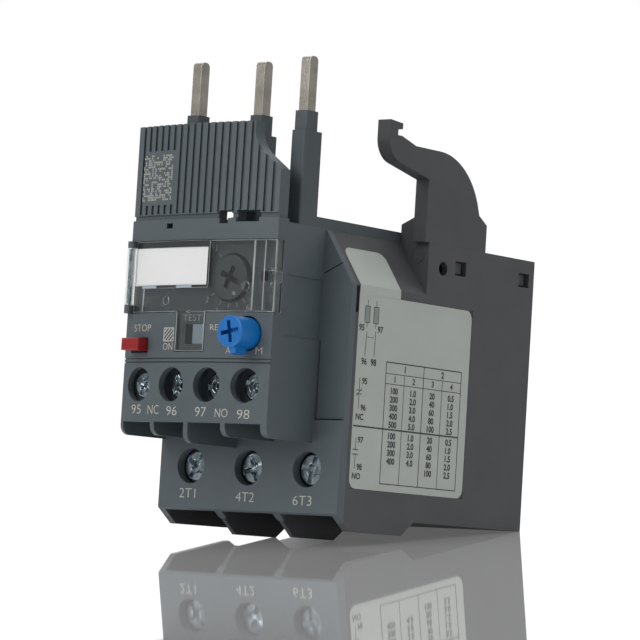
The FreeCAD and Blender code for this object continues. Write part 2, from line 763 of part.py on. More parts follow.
def front_housing():
    """Front moulding: curved control block on the main terminal plate and side strip."""
    across = ("-" + HALF, HALF)
    block = curved_plate("ControlBlock", ("-" + HALF, "control_right"),
                         ("control_foot", "housing_top"), "0", back="seam_face")
    foot, back = value("control_foot"), value("seam_face")
    round_edges(block, "control_corner",
                lambda a, b: near(a.z, foot) and near(b.z, foot)
                and not near(a.y, back) and not near(b.y, back))
    lip = curved_plate("Band", ("-" + HALF, "control_right"), ("housing_top", "band_top"), "0",
                       inner=SHROUD_BACK)
    plate = prism("MainPlate", "YZ", [("main_face", "main_sill"), ("seam_face", SEAM_FOOT),
                                      ("seam_face", "main_head"), ("main_face", "main_head")],
                  across[0], across[1])
    strip = box("Strip", ("control_right", HALF), ("strip_face", "seam_face"),
                ("main_head", "housing_top"))
    facet = facet_wedge("StripFacet", "0", ("main_face", "seam_face + over"))
    trimmed = cut("TrimmedStrip", strip, facet)
    divider = prism("MiddleWall", "YZ",
                    [("middle_wall_front", "control_sill"), ("middle_wall_front", "middle_wall_foot"),
                     ("main_face", "middle_wall_foot"), ("main_face", "control_sill")],
                    *around("control_middle", "(control_pitch - control_cell) / 2"))
    tip_y, tip_z = value("middle_wall_front"), value("middle_wall_foot")
    round_edges(divider, "control_corner",
                lambda a, b: near(a.y, tip_y) and near(b.y, tip_y) and near(a.z, tip_z) and near(b.z, tip_z))
    joined = fuse("FrontJoined", block, lip, plate, trimmed, divider)

    removed = [curved_plate("Works", WORKS, ("works_floor", "works_top"), "front_wall",
                            back="seam_face + over")]
    for k in CONTROLS:
        cell = around(control_x(k), "control_cell / 2")
        removed.append(curved_plate("ControlCell%d" % k, cell,
                                    ("control_foot - over", "control_cell_top"),
                                    "control_skin", back="main_face"))
        removed.append(box("ControlSill%d" % k, cell, ("-over", "main_face / 2"),
                           ("control_foot - over", "control_sill")))
        removed.append(rod("ControlWell%d" % k, "Y", (control_x(k), "-over", "control_axis"),
                           "control_well", CONTROL_SEAT + " + over"))
    for k in POLES:
        removed.append(rod("MainWell%d" % k, "Y", (pole_x(k), "main_face - over", "main_axis"),
                           "main_well", "seam_face - main_face + 2 * over"))
        removed.append(lead_channel("RoofChannel%d" % k, k, "lead_foot - seat", "housing_top + over"))
        removed.append(box("MainMouth%d" % k, around(pole_x(k), "main_pitch / 2 - barrier + slip"),
                           ("main_face + main_lip", "seam_face + over"), ("-over", "main_lip_top")))
    gap_y = ("strip_face - over", "strip_face + strip_gap_depth")
    line = [("control_right", "strip_line_low"), (HALF + " - over", "strip_line_high"),
            (HALF + " - over", "strip_line_high + strip_gap"),
            ("control_right", "strip_line_low + strip_gap")]
    removed.extend([
        box("SidePanel", ("control_right - side_panel_depth", "control_right + over"),
            ("side_panel_front", "strip_face"), ("side_panel_low", "side_panel_high")),
        box("StripGapSide", ("control_right", "control_right + strip_gap"), gap_y,
            ("main_head", "side_panel_low")),
        box("StripGapFoot", ("control_right", HALF + " - strip_gap_end"), gap_y,
            ("main_head", "main_head + strip_gap")),
        prism("StripLine", "XZ", line, *gap_y)])
    for hand in (-1, 1):
        level = around("line_level + %d * line_spread" % hand, "line_width / 2")
        removed.append(curved_plate("FrontLine%d" % hand, ("-%s - over" % HALF, "control_right + over"),
                                    level, "-over", inner="line_depth"))
    removed.append(curved_plate("CoverRecess", ("-%s - over" % HALF, "control_right + over"),
                                ("cover_low", "cover_high"), "-over", inner="cover_recess"))
    removed.append(curved_plate("TongueRecess", grown(TONGUE, "cover_play"),
                                ("tongue_foot - cover_play", "cover_low + over"), "-over",
                                inner="cover_skin + cover_play"))
    removed.append(rod("DialPocket", "Y", ("dial_x", "0", "dial_z"), "dial_radius + dial_rim",
                       "dial_face + dial_depth + seat"))
    removed.append(curved_plate("PeepHole", ("peep_left", "peep_right"), ("peep_low", "peep_high"),
                                "-over", inner="skin"))
    removed.extend(front_gates("Front"))
    hollow = cut("FrontHollow", joined, *removed)

    rest = box("ControlRest", grown(WORKS, "skin / 2"),
               (CONTROL_SEAT, CONTROL_SEAT + " + control_partition"),
               ("control_partition_foot", "works_floor"))
    lugs = []
    for name, low, high in (("Low", "cover_low", "lug_low_top"), ("High", "lug_high_foot", "cover_high")):
        lugs.append(rod("Lug" + name, "Z", ("hinge_x", "hinge_y", low), "knuckle",
                        "%s - (%s)" % (high, low)))
        lugs.append(box("LugFoot" + name, around("hinge_x", "knuckle"), ("hinge_y", "lug_back"),
                        (low, high)))
    guide = box("PlungerGuide", ("guide_left", "control_right - skin / 2"),
                ("guide_face", "guide_face + guide_depth"), ("works_floor - skin / 2", "guide_high"))
    rails = []
    plate_z = ("test_low - test_plate_border", "test_high + test_plate_border")
    for name, low, high, edge in (
            ("Low", plate_z[0] + " - slip - rail", plate_z[0] + " - slip", plate_z[0] + " + rail"),
            ("High", plate_z[1] + " + slip", plate_z[1] + " + slip + rail", plate_z[1] + " - rail")):
        reach = ("test_plate_face + test_plate + slip", "test_plate_face + test_plate + slip + rail")
        rails.append(box("Rail" + name, TONGUE, ("front_wall - skin", reach[1]), (low, high)))
        lip_z = (low, edge) if name == "Low" else (edge, high)
        rails.append(box("RailLip" + name, TONGUE, reach, lip_z))
    filled = fuse("FrontFilled", hollow, rest, guide, *(lugs + rails))

    bores = [rod("DialHole", "Y", ("dial_x", "0", "dial_z"), "dial_stem + running", "cam_face + over"),
             rod("KnobHole", "Y", ("reset_x", "-over", "reset_z"), "knob_radius + knob_mouth",
                 "plunger_flange_face + over"),
             rod("GuideHole", "Y", ("reset_x", "guide_face - over", "reset_z"),
                 "plunger_radius + running", "guide_depth + 2 * over"),
             rod("HingeHole", "Z", ("hinge_x", "hinge_y", "cover_low + skin"), "hinge_pin + seat / 2",
                 "cover_high - cover_low - 2 * skin"),
             box("StopMouth", grown(STOP_X, "stop_mouth"), ("-over", "skin + stop_mouth_depth"),
                 grown(STOP_Z, "stop_mouth")),
             box("StopHole", grown(STOP_X, "slip"), ("-over", "stop_flange_face"),
                 grown(STOP_Z, "slip")),
             box("TestWindow", ("test_left", "test_right"), ("-over", "front_wall + skin"),
                 ("test_low", "test_high"))]
    for k in CONTROLS:
        bores.append(rod("ControlShank%d" % k, "Y", (control_x(k), CONTROL_SEAT + " - over", "control_axis"),
                         "control_shank + slip", "control_partition + 2 * over"))
        bores.append(box("ControlSlot%d" % k, around(control_x(k), "control_bar_width / 2 + seat"),
                         ("control_bar_face - seat", "control_bar_face + control_bar + seat"),
                         ("control_cell_top - over", "works_floor + over")))
    node("front_housing", cut("FrontHousing", filled, *bores))


def front_gates(name):
    """The two openings that cross the joint between band and shroud."""
    face = ("-over", "front_radius / 16")
    return [box(name + "Gate", ("gate_left", "gate_right"), face, ("band_top - slip", "gate_top")),
            box(name + "Throat", ("gate_left + gate_throat", "gate_right - gate_throat"), face,
                ("gate_foot", "gate_top")),
            box(name + "Port", ("port_left", "port_right"), face, ("port_foot", "gate_top"))]


def rib_shroud():
    """Curved guard with twenty grooves spread about the axis of the front's curve."""
    body = curved_plate("Shroud", ("-" + HALF, "control_right - shroud_margin"), ("band_top", "shroud_top"),
                        "shroud_inset", inner=SHROUD_BACK)
    sketch = body.newObject("Sketcher::SketchObject", "GroovePlan")
    sketch.AttachmentSupport = [(origin_plane(body, "XY"), "")]
    sketch.MapMode = "FlatFace"
    sketch.setExpression("AttachmentOffset.Base.y", bound("front_radius"))
    sketch.setExpression("AttachmentOffset.Base.z", bound("shroud_top + over"))
    reach = "-sqrt((front_radius - shroud_inset) ^ 2 - (groove_first + groove_width / 2) ^ 2)"
    spans = (("groove_first", "groove_first + groove_width"),
             (reach + " - over", reach + " + groove_depth"))
    corners = [(0, 0), (1, 0), (1, 1), (0, 1)]
    points = [FreeCAD.Vector(value(spans[0][i]), value(spans[1][j]), 0) for i, j in corners]
    for i in range(4):
        sketch.addGeometry(Part.LineSegment(points[i], points[(i + 1) % 4]), False)
    for i in range(4):
        sketch.addConstraint(Sketcher.Constraint("Coincident", i, 2, (i + 1) % 4, 1))
        sketch.addConstraint(Sketcher.Constraint("Vertical" if i % 2 else "Horizontal", i))
    hold(sketch, "GrooveLeft", "DistanceX", (-1, 1, 0, 1), spans[0][0])
    hold(sketch, "GrooveWide", "DistanceX", (0, 1, 0, 2), "groove_width")
    hold(sketch, "GrooveFront", "DistanceY", (-1, 1, 0, 1), spans[1][0])
    hold(sketch, "GrooveDeep", "DistanceY", (1, 1, 1, 2), "groove_depth + over")
    groove = body.newObject("PartDesign::Pocket", "Groove")
    groove.Profile = sketch
    bind(groove, Length="shroud_top + over - groove_foot")
    body.Tip = groove
    doc.recompute()
    ring = body.newObject("PartDesign::PolarPattern", "Grooves")
    ring.Originals = [groove]
    ring.Axis = (sketch, ["N_Axis"])
    bind(ring, Angle="groove_angle * (groove_count - 1)", Occurrences="groove_count")
    body.Tip = ring
    doc.recompute()
    patch = curved_plate("PlainPatch", ("plain_left", "plain_right"), ("plain_low", "plain_high"),
                         "shroud_inset", inner="shroud_inset + 2 * groove_depth")
    corner = [("notch_x", "shroud_top + over"), ("notch_x", "notch_corner"),
              ("control_right", "notch_low"), ("control_right + over", "notch_low"),
              ("control_right + over", "shroud_top + over")]
    notch = prism("ShroudNotch", "XZ", corner, "-over", "front_radius / 8")
    x, z = value("notch_x"), value("notch_corner")
    round_edges(notch, "notch_round",
                lambda a, b: near(a.x, x) and near(b.x, x) and near(a.z, z) and near(b.z, z))
    foot = curved_plate("ShroudFoot", ("-%s - over" % HALF, "control_right + over"),
                        ("band_top - over", "rib_foot"), "-over",
                        inner="shroud_inset + rib_foot_inset")
    whole = fuse("ShroudWhole", body, patch)
    node("rib_shroud", cut("RibShroud", whole, notch, foot, *front_gates("Shroud")))


def post(name, x, y, z):
    """An upright square post with rounded corners."""
    body = prism(name, "XY", [(x[0], y[0]), (x[1], y[0]), (x[1], y[1]), (x[0], y[1])], *z)
    round_edges(body, "column_round", lambda a, b: near(a.x, b.x) and near(a.y, b.y))
    return body


def top_cover():
    """Lid of the chamber with three hollow columns that steady the contact pins."""
    left = "-%s + skin + seat" % HALF
    lids = [box("LidFront", (left, "control_right - (%s) - seat" % FACET_SHIFT),
                ("seam_face + seat", "facet_back + skin + over"), ("lid_foot", "housing_top")),
            box("LidBack", (left, HALF + " - skin - seat"),
                ("facet_back + skin + seat", "body_depth - skin - seat"), ("lid_foot", "housing_top")),
            box("RaisedTop", ("-" + HALF, "control_right"), ("raised_front", "raised_back"),
                ("housing_top", "raised_top"))]
    for k in POLES:
        face = pin_face(k)
        column = around(pin_x(k), "column_width / 2")
        back = face + " + pin_depth + column_back"
        lids.append(post("Column%d" % k, column, (face + " - column_front", back),
                         ("housing_top", "column_top")))
        lids.append(box("Heel%d" % k, column, (face + " + pin_depth", "raised_front + over"),
                        ("housing_top", "raised_top")))
        lids.append(post("Sleeve%d" % k, around(pin_x(k), "sleeve_width / 2"),
                         (face + " - sleeve_wall", face + " + pin_depth + sleeve_wall"),
                         ("column_top - over", "sleeve_top")))
    for place in ("first", "last"):
        for hand in (-1, 1):
            wall = "%d * (%s - skin - seat)" % (hand, HALF)
            y = around("latch_" + place, "tab_width / 2")
            lids.append(box("Tab%s%d" % (place, hand), around(wall + " - %d * tab / 2" % hand, "tab / 2"),
                            y, ("tab_foot", "lid_foot + slip")))
            lids.append(box("Nose%s%d" % (place, hand),
                            around(wall + " + %d * (tab_nose - tab) / 2" % hand, "(tab_nose + tab) / 2"),
                            y, ("tab_foot", "latch_high - slip")))
    whole = fuse("LidWhole", *lids)
    holes = [rod("StudHole" + place, "Z", ("stud_x", "stud_" + place, "lid_foot - over"),
                 "stud_radius + seat", "2 * over + housing_top - lid_foot") for place in ("first", "last")]
    for k in POLES:
        holes.append(pin_opening("PinHole%d" % k, k, "seat"))
        holes.append(lead_channel("LeadChannel%d" % k, k, "lid_foot - over", LEAD_TOP + " + seat"))
    node("top_cover", cut("TopCover", whole, *holes))


def mounting_hook():
    """Hook plate that grips the contactor, with its foot, flange and gusset."""
    outline = [("hook_front", "housing_top"), ("hook_front", "hook_neck"),
               ("hook_nose", "hook_slope"), ("hook_nose", "hook_tip"),
               ("hook_tip_back", "hook_tip_rear"), ("hook_tip_back", "hook_barb_high"),
               ("hook_barb", "hook_barb_high"), ("hook_barb", "hook_barb_low"),
               ("hook_tip_back", "hook_barb_low"), ("hook_shoulder_front", "hook_shoulder"),
               ("hook_crest", "hook_shoulder"), ("hook_heel", "hook_heel_top"),
               ("raised_back", "hook_heel_low"), ("raised_back", "housing_top")]
    plate = prism("HookPlate", "YZ", outline, HALF + " - hook_thick", HALF)

    def corner(y, z):
        return lambda a, b: near(a.y, value(y)) and near(b.y, value(y)) and near(a.z, value(z)) \
            and near(b.z, value(z))

    round_edges(plate, "hook_inner_round", corner("hook_nose", "hook_slope"))
    plate_round = plate.Tip
    crest = corner("hook_crest", "hook_shoulder")
    names = ["Edge%d" % n for n, e in enumerate(plate_round.Shape.Edges, start=1)
             if len(e.Vertexes) == 2 and crest(e.Vertexes[0].Point, e.Vertexes[1].Point)]
    crown = plate.newObject("PartDesign::Fillet", "HookCrown")
    crown.Base = (plate_round, names)
    bind(crown, Radius="min(hook_outer_round; 0.9 * hook_widest_round)")
    plate.Tip = crown
    doc.recompute()
    foot = box("HookFoot", ("control_right", HALF), ("facet_back", "raised_back"),
               ("housing_top", "foot_top"))
    root = HALF + " - hook_thick"
    slope = [("control_right", "foot_top - slip"), (root + " + slip", "foot_top - slip"),
             (root + " + slip", "hook_heel_low"), (root, "hook_heel_low"), ("control_right", "gusset_low")]
    webs = [prism("HookWeb", "XZ", slope, "facet_back", "facet_back + gusset"),
            prism("HookFlange", "XZ", slope, "raised_back - gusset", "raised_back")]
    studs = [rod("Stud" + place, "Z", ("stud_x", "stud_" + place, "lid_foot"), "stud_radius",
                 "housing_top - lid_foot + slip") for place in ("first", "last")]
    node("mounting_hook", fuse("MountingHook", plate, foot, *(webs + studs)))


def contact_pins():
    """Three conductors: a blade up through its sleeve and a lead back to the winding."""
    for k in POLES:
        face = pin_face(k)
        back = face + " + pin_depth"
        outline = [(face, "lead_foot"), ("lead_back - lead", "lead_foot"),
                   ("lead_back - lead", "lead_end"), ("lead_back", "lead_end"),
                   ("lead_back", LEAD_TOP), (back, LEAD_TOP), (back, "pin_tip"), (face, "pin_tip")]
        pin = prism("Pin%d" % k, "YZ", outline, *around(pin_x(k), "pin_width / 2"))
        tip = value("pin_tip")
        round_edges(pin, "pin_round", lambda a, b: near(a.z, tip) and near(b.z, tip) and near(a.y, b.y))
        node("contact_pin_%d" % k, pin)


def clear_cover():
    """Clear hinged cover with its tongue, hinge knuckle, side flange and two ribs."""
    knuckle_z = ("lug_low_top + slip", "lug_high_foot - slip")
    right = ("control_right - cover_skin", "control_right")
    parts = [curved_plate("CoverPlate", ("cover_left", "control_right"), COVER_Z, "0",
                          inner="cover_skin"),
             curved_plate("CoverTongue", TONGUE, ("tongue_foot", "cover_low + skin"), "0",
                          inner="cover_skin"),
             curved_plate("CoverFlange", right, COVER_Z, "0", inner="cover_recess - cover_play"),
             curved_plate("CoverRoot", ("hinge_x", "cover_left + slip"), knuckle_z, "0",
                          inner="cover_skin"),
             box("KnuckleWeb", around("hinge_x", "knuckle / 2"), ("hinge_y", "hinge_y + 2 * knuckle"),
                 knuckle_z),
             rod("CoverKnuckle", "Z", ("hinge_x", "hinge_y", knuckle_z[0]), "knuckle",
                 "%s - (%s)" % (knuckle_z[1], knuckle_z[0]))]
    parts.append(curved_plate("MarkerFrame", ("cover_left", "marker_right + frame_width"),
                              ("marker_low - frame_width", COVER_Z[1]), "-frame_proud",
                              inner="cover_skin / 2"))
    parts.append(curved_plate("FrameStrip", ("cover_left", "cover_left + frame_strip"),
                              (COVER_Z[0], "marker_low"), "-frame_proud", inner="cover_skin / 2"))
    parts.append(rod("SealRing", "Y", ("seal_x", SEAL_FACE + " - frame_proud", "seal_z"), "seal_ring",
                     "frame_proud + cover_skin / 2"))
    for place in ("first", "last"):
        parts.append(curved_plate("CoverRib" + place, around("cover_rib_" + place, "cover_rib / 2"),
                                  COVER_Z, "-cover_rib_proud", inner="cover_skin / 2"))
    whole = fuse("CoverWhole", *parts)
    pocket = curved_plate("MarkerPocket", ("marker_left", "marker_right"),
                          ("marker_low", "marker_high"), "-over", inner="marker_thick")
    seal = box("SealHole", around("seal_x", "seal_width / 2"), ("-over", "front_radius / 16"),
               around("seal_z", "seal_height / 2"))
    bore = rod("KnuckleBore", "Z", ("hinge_x", "hinge_y", knuckle_z[0] + " - over"),
               "hinge_pin + running", "%s - (%s) + 2 * over" % (knuckle_z[1], knuckle_z[0]))
    node("clear_cover", cut("ClearCover", whole, pocket, seal, bore))
    node("cover_pin", rod("CoverPin", "Z", ("hinge_x", "hinge_y", "cover_low + skin"), "hinge_pin",
                          "cover_high - cover_low - 2 * skin"))
    plate = curved_plate("MarkerPlate", ("marker_left", "marker_right"),
                         ("marker_low", "marker_high"), "0", inner="marker_thick")
    node("marker_plate", plate)


def setting_dial():
    """Dial with a crossed slot, its stem through the front and the cam behind."""
    disc = rod("DialDisc", "Y", ("dial_x", "dial_face", "dial_z"), "dial_radius", "dial_depth")
    stem = rod("DialStem", "Y", ("dial_x", "dial_face", "dial_z"), "dial_stem", "cam_back - dial_face")
    cam = rod("DialCam", "Y", ("dial_x + cam_offset", "cam_face", "dial_z"), "cam_radius",
              "cam_back - cam_face")
    cross = cross_slot("Dial", "dial_slot_length", "dial_slot",
                       ("dial_face - over", "dial_face + dial_slot_depth"),
                       "dial_x", "dial_z", "dial_slot_angle")
    node("setting_dial", cut("SettingDial", fuse("DialSolid", disc, stem, cam), *cross))


def cross_slot(name, length, width, y, x, z, angle):
    """Two crossed slots sunk in a round head, turned by an angle."""
    slots = []
    for turn in (0, 90):
        slot = box("%sSlot%d" % (name, turn), ("-(%s) / 2" % length, "(%s) / 2" % length), y,
                   ("-(%s) / 2" % width, "(%s) / 2" % width))
        slots.append(turned(slot, x, z, "%d + (%s)" % (turn, angle)))
    return slots


def turned(piece, x, z, angle):
    """A piece drawn about the Y axis, turned on it and carried to a place on the front."""
    group = doc.addObject("Part::Compound", piece.Name + "Turned")
    group.Links = [piece]
    group.Placement = FreeCAD.Placement(FreeCAD.Vector(), FreeCAD.Rotation(FreeCAD.Vector(0, 1, 0), 0))
    return bind(group, Placement__Base__x=x, Placement__Base__z=z, Placement__Rotation__Angle=angle)


def round_front(piece, y, radius):
    """Round the edge of a round head's front face."""
    rounded = doc.addObject("Part::Fillet", piece.Name + "Round")
    rounded.Base = piece
    level = value(y)
    front = [n for n, e in enumerate(body_shape(piece).Edges, start=1)
             if isinstance(e.Curve, Part.Circle) and near(e.CenterOfMass.y, level)]
    rounded.Edges = [(n, value(radius), value(radius)) for n in front]
    return rounded


def stop_button():
    """Rounded rectangular button with a flange that keeps it in the front."""
    cap = prism("StopCap", "XZ", [(STOP_X[0], STOP_Z[0]), (STOP_X[1], STOP_Z[0]),
                                  (STOP_X[1], STOP_Z[1]), (STOP_X[0], STOP_Z[1])],
                "stop_face", "stop_flange_face + stop_flange_depth")
    face = value("stop_face")
    round_edges(cap, "stop_round", lambda a, b: near(a.y, face) and near(b.y, face))
    flange = box("StopFlange", grown(STOP_X, "stop_flange"),
                 ("stop_flange_face", "stop_flange_face + stop_flange_depth"),
                 grown(STOP_Z, "stop_flange"))
    node("stop_button", fuse("StopButton", cap, flange))


def reset_group():
    """Knob that turns on a plunger, the plunger's finger and its return spring."""
    body = rod("KnobBody", "Y", ("reset_x", "-knob_proud", "reset_z"), "knob_radius",
               "knob_proud + knob_back")
    rounded = round_front(body, "-knob_proud", "knob_edge")
    bar = box("KnobPointer", ("-pointer_width / 2", "pointer_width / 2"),
              ("-pointer_face", "-pointer_back"), ("-pointer_reach", "0"))
    pointer = turned(bar, "reset_x", "reset_z", "knob_angle")
    bore = rod("KnobBore", "Y", ("reset_x", "knob_cap - knob_proud", "reset_z"),
               "plunger_radius + running", "knob_proud + knob_back")
    cross = cross_slot("Knob", "knob_slot_length", "knob_slot",
                       ("-knob_proud - over", "knob_slot_depth - knob_proud"), "reset_x", "reset_z",
                       "knob_angle")
    node("reset_knob", cut("ResetKnob", fuse("KnobSolid", rounded, pointer), bore, *cross))

    stem = rod("PlungerStem", "Y", ("reset_x", "knob_cap - knob_proud + seat", "reset_z"),
               "plunger_radius", "plunger_back + knob_proud - knob_cap - seat")
    flange = rod("PlungerFlange", "Y", ("reset_x", "plunger_flange_face", "reset_z"),
                 "plunger_flange", "plunger_flange_depth")
    finger = box("PlungerFinger", around("reset_x", "finger"),
                 ("plunger_back - finger", "plunger_back"), ("reset_z", "lever_reset_top"))
    node("reset_plunger", fuse("ResetPlunger", stem, flange, finger))

    spring = doc.addObject("PartDesign::Body", "ResetSpring")
    sketch = spring.newObject("Sketcher::SketchObject", "SpringWire")
    sketch.AttachmentSupport = [(origin_plane(spring, "XZ"), "")]
    sketch.MapMode = "FlatFace"
    sketch.addGeometry(Part.Circle(FreeCAD.Vector(value("spring_radius"), 0, 0),
                                   FreeCAD.Vector(0, 0, 1), value("spring_wire")), False)
    sketch.addConstraint(Sketcher.Constraint("PointOnObject", 0, 3, -1))
    hold(sketch, "Coil", "DistanceX", (-1, 1, 0, 3), "spring_radius")
    hold(sketch, "Wire", "Radius", (0,), "spring_wire")
    helix = spring.newObject("PartDesign::AdditiveHelix", "SpringCoil")
    helix.Profile = sketch
    helix.ReferenceAxis = (sketch, ["V_Axis"])
    helix.Mode = 0
    bind(helix, Pitch="spring_pitch", Height="spring_length")
    spring.Tip = helix
    doc.recompute()
    spring.Placement = FreeCAD.Placement(FreeCAD.Vector(), TURNS["Y"])
    move_to(spring, "reset_x", "plunger_flange_face + plunger_flange_depth + spring_wire", "reset_z")
    node("reset_spring", spring)


def body_shape(obj):
    """An object's shape once it has been worked out."""
    doc.recompute()
    return obj.Shape


def test_slider():
    """Thumb nub in the window, carried by a plate that slides behind the front."""
    nub = box("TestNub", ("test_right - slip - test_nub", "test_right - slip"),
              ("cover_skin + free_gap", "test_plate_face + slip"), ("test_low + slip", "test_high - slip"))
    plate = box("TestPlate",
                ("test_left - test_plate_border", "test_right + test_travel + test_plate_border"),
                ("test_plate_face", "test_plate_face + test_plate"),
                grown(("test_low", "test_high"), "test_plate_border"))
    node("test_slider", fuse("TestSlider", nub, plate))


def terminal_screw(label, name, x, z, face, head, head_radius, shank, tip, slot_angle):
    """Screw with a crossed slot round a tapered socket, whose tip bears on its terminal bar."""
    cap = round_front(rod(name + "Head", "Y", (x, face, z), head_radius, head), face, "screw_edge")
    socket = doc.addObject("Part::Cone", name + "Socket")
    socket.Placement = FreeCAD.Placement(FreeCAD.Vector(), TURNS["Y"])
    bind(socket, Radius1="screw_socket", Radius2="screw_socket / 3", Height="screw_socket_depth")
    move_to(socket, x, face, z)
    stem = rod(name + "Shank", "Y", (x, face, z), shank, "(%s) - (%s)" % (tip, face))
    cross = cross_slot(name, "2 * (%s) - screw_slot" % head_radius, "screw_slot",
                       ("%s - over" % face, "%s + (%s) / 2" % (face, head)), x, z, slot_angle)
    node(label, cut(name, fuse(name + "Solid", cap, stem), socket, *cross))


def clamp_cage(label, name, x, z, half, height, face, back, wall, shank):
    """Square lifting cage round the bar, its front wall bored for the screw."""
    z_span = around(z, "(%s) / 2" % height)
    outer = box(name + "Outer", around(x, half), (face, back), z_span)
    inner = box(name + "Inner", around(x, "%s - %s" % (half, wall)),
                ("%s + %s" % (face, wall), "%s - %s" % (back, wall)), grown(z_span, "over"))
    bore = rod(name + "Bore", "Y", (x, "%s - over" % face, z), shank + " + running", "%s + 2 * over" % wall)
    node(label, cut(name, outer, inner, bore))


def terminals():
    """Screws, cages and bars of the three main and four control terminals."""
    for k in POLES:
        x = pole_x(k)
        terminal_screw("main_screw_%d" % k, "MainScrew%d" % k, x, "main_axis", "main_head_face",
                       "main_head_depth", "main_head_radius", "main_shank", "main_bar_face - seat",
                       "main_slot_angle * %d" % k)
        clamp_cage("main_clamp_%d" % k, "MainClamp%d" % k, x, "main_axis", MAIN_CAGE_HALF,
                   "main_cage_height", "main_bar_face - cage_ahead - main_cage_wall",
                   "main_bar_face + main_bar + main_wire_gap + main_cage_wall", "main_cage_wall",
                   "main_shank")
        lying = [("main_bar_face", "main_bar_foot"), ("main_bar_face + main_bar", "main_bar_foot"),
                 ("main_bar_face + main_bar", "bar_level"), ("bar_back", "bar_level"),
                 ("bar_back", "bar_level + main_bar"), ("main_bar_face", "bar_level + main_bar")]
        node("main_bar_%d" % k, prism("MainBar%d" % k, "YZ", lying, *around(x, "main_bar_width / 2")))
    for k in CONTROLS:
        x = control_x(k)
        terminal_screw("control_screw_%d" % k, "ControlScrew%d" % k, x, "control_axis",
                       "control_head_face", "control_head_depth", "control_head_radius",
                       "control_shank", "control_bar_face - seat", "control_slot_angle * %d" % k)
        clamp_cage("control_clamp_%d" % k, "ControlClamp%d" % k, x, "control_axis", CONTROL_CAGE_HALF,
                   "control_cage_height", "control_bar_face - cage_ahead - control_cage_wall",
                   "control_bar_face + control_bar + control_wire_gap + control_cage_wall",
                   "control_cage_wall", "control_shank")
        thick = ("control_bar_face", "control_bar_face + control_bar")
        wide = box("ControlWide%d" % k, around(x, "control_bar_width / 2"), thick,
                   ("control_bar_foot", "works_floor"))
        slim = box("ControlSlim%d" % k, around(x, "contact_width / 2"), thick,
                   ("control_bar_foot", "contact_tip"))
        node("control_bar_%d" % k, fuse("ControlBar%d" % k, wide, slim))


def thermal_works():
    """Bimetal strips on their bars, each inside a winding fed by its contact pin."""
    back = "bimetal_face + bimetal"
    for k in POLES:
        x = pole_x(k)
        node("bimetal_%d" % k, box("Bimetal%d" % k, around(x, "bimetal_width / 2"),
                                   ("bimetal_face", back), ("bar_level + main_bar", "bimetal_top")))
        turns = []
        for turn in range(5):
            z = ("winding_first + %d * winding_pitch" % turn,
                 "winding_first + %d * winding_pitch + winding_height" % turn)
            inner_x = around(x, "bimetal_width / 2 + winding_gap")
            inner_y = ("bimetal_face - winding_gap", back + " + winding_gap")
            outer = box("Turn%dOuter%d" % (turn, k), grown(inner_x, "winding"), grown(inner_y, "winding"), z)
            inner = box("Turn%dInner%d" % (turn, k), inner_x, inner_y, grown(z, "over"))
            turns.append(cut("Turn%d_%d" % (turn, k), outer, inner))
        rear = back + " + winding_gap + winding"
        strap = [("lead_back - lead", "lead_end - strap"), (rear, "lead_end - strap"),
                 (rear, "winding_first"), (rear + " + strap", "winding_first"),
                 (rear + " + strap", "lead_end"), ("lead_back - lead", "lead_end")]
        strip = prism("Strap%d" % k, "YZ", strap, *around(pin_x(k), "strap_width / 2"))
        node("heater_%d" % k, fuse("Heater%d" % k, strip, *turns))


def trip_works():
    """Slide, trip lever, pin and frame that carry the strips' push to the contacts."""
    z = ("slide_foot", "slide_foot + slide_height")
    front = "bimetal_face - free_gap - slide_depth"
    yoke = box("SlideYoke", around("0", "slide_half"), (front, front + " + slide_depth"), z)
    arm = box("SlideArm", around("0", "slide_arm"), ("slide_tip", front + " + slip"), z)
    node("slide_bar", fuse("SlideBar", yoke, arm))

    pin = ("lever_y", "lever_z")
    hub = rod("LeverHub", "X", ("-lever_half",) + pin, "lever_hub", "2 * lever_half")
    arm_y = around("lever_y", "lever_arm / 2")
    up = box("LeverUp", around("0", "lever_arm_half"), arm_y, ("lever_z", "lever_top"))
    down = box("LeverDown", around("0", "lever_arm_half"), arm_y, ("lever_foot", "lever_z"))
    side = ("lever_reset_inner", "lever_half")
    rise = box("LeverRise", side, arm_y, ("lever_z", "lever_reset_top"))
    nose = box("LeverNose", side, ("lever_reset_face", "lever_y"), ("lever_reset_foot", "lever_reset_top"))
    bore = rod("LeverBore", "X", ("-lever_half - over",) + pin, "lever_pin + running",
               "2 * (lever_half + over)")
    node("trip_lever", cut("TripLever", fuse("LeverSolid", hub, up, down, rise, nose), bore))
    outside = "cheek_inner + cheek"
    node("lever_pin", rod("LeverPin", "X", ("-(%s)" % outside,) + pin, "lever_pin", "2 * (%s)" % outside))

    cheeks = []
    for hand, name in ((-1, "Left"), (1, "Right")):
        inner = "%d * cheek_inner" % hand
        span = around("%d * (cheek_inner + cheek / 2)" % hand, "cheek / 2")
        cheeks.append(box("Cheek" + name, span, ("cheek_front", "cheek_back"),
                          ("chamber_floor", "cheek_top")))
    bridge = box("FrameBridge", around("0", outside), ("table_front", "cheek_back"),
                 ("bridge_foot", "bridge_foot + table"))
    table = box("FrameTable", around("0", outside), ("table_front", "cheek_back"),
                ("slide_foot - slip - table", "slide_foot - slip"))
    lips = [box("FrameLip%d" % hand, around("%d * (slide_arm + slip + lip / 2)" % hand, "lip / 2"),
                ("table_front", "cheek_back"), ("slide_foot - table / 2", "slide_foot + slide_height"))
            for hand in (-1, 1)]
    holes = rod("FrameHole", "X", ("-(%s) - over" % outside,) + pin, "lever_pin + seat / 2",
                "2 * (%s + over)" % outside)
    node("works_frame", cut("WorksFrame", fuse("FrameSolid", bridge, table, *(cheeks + lips)), holes))


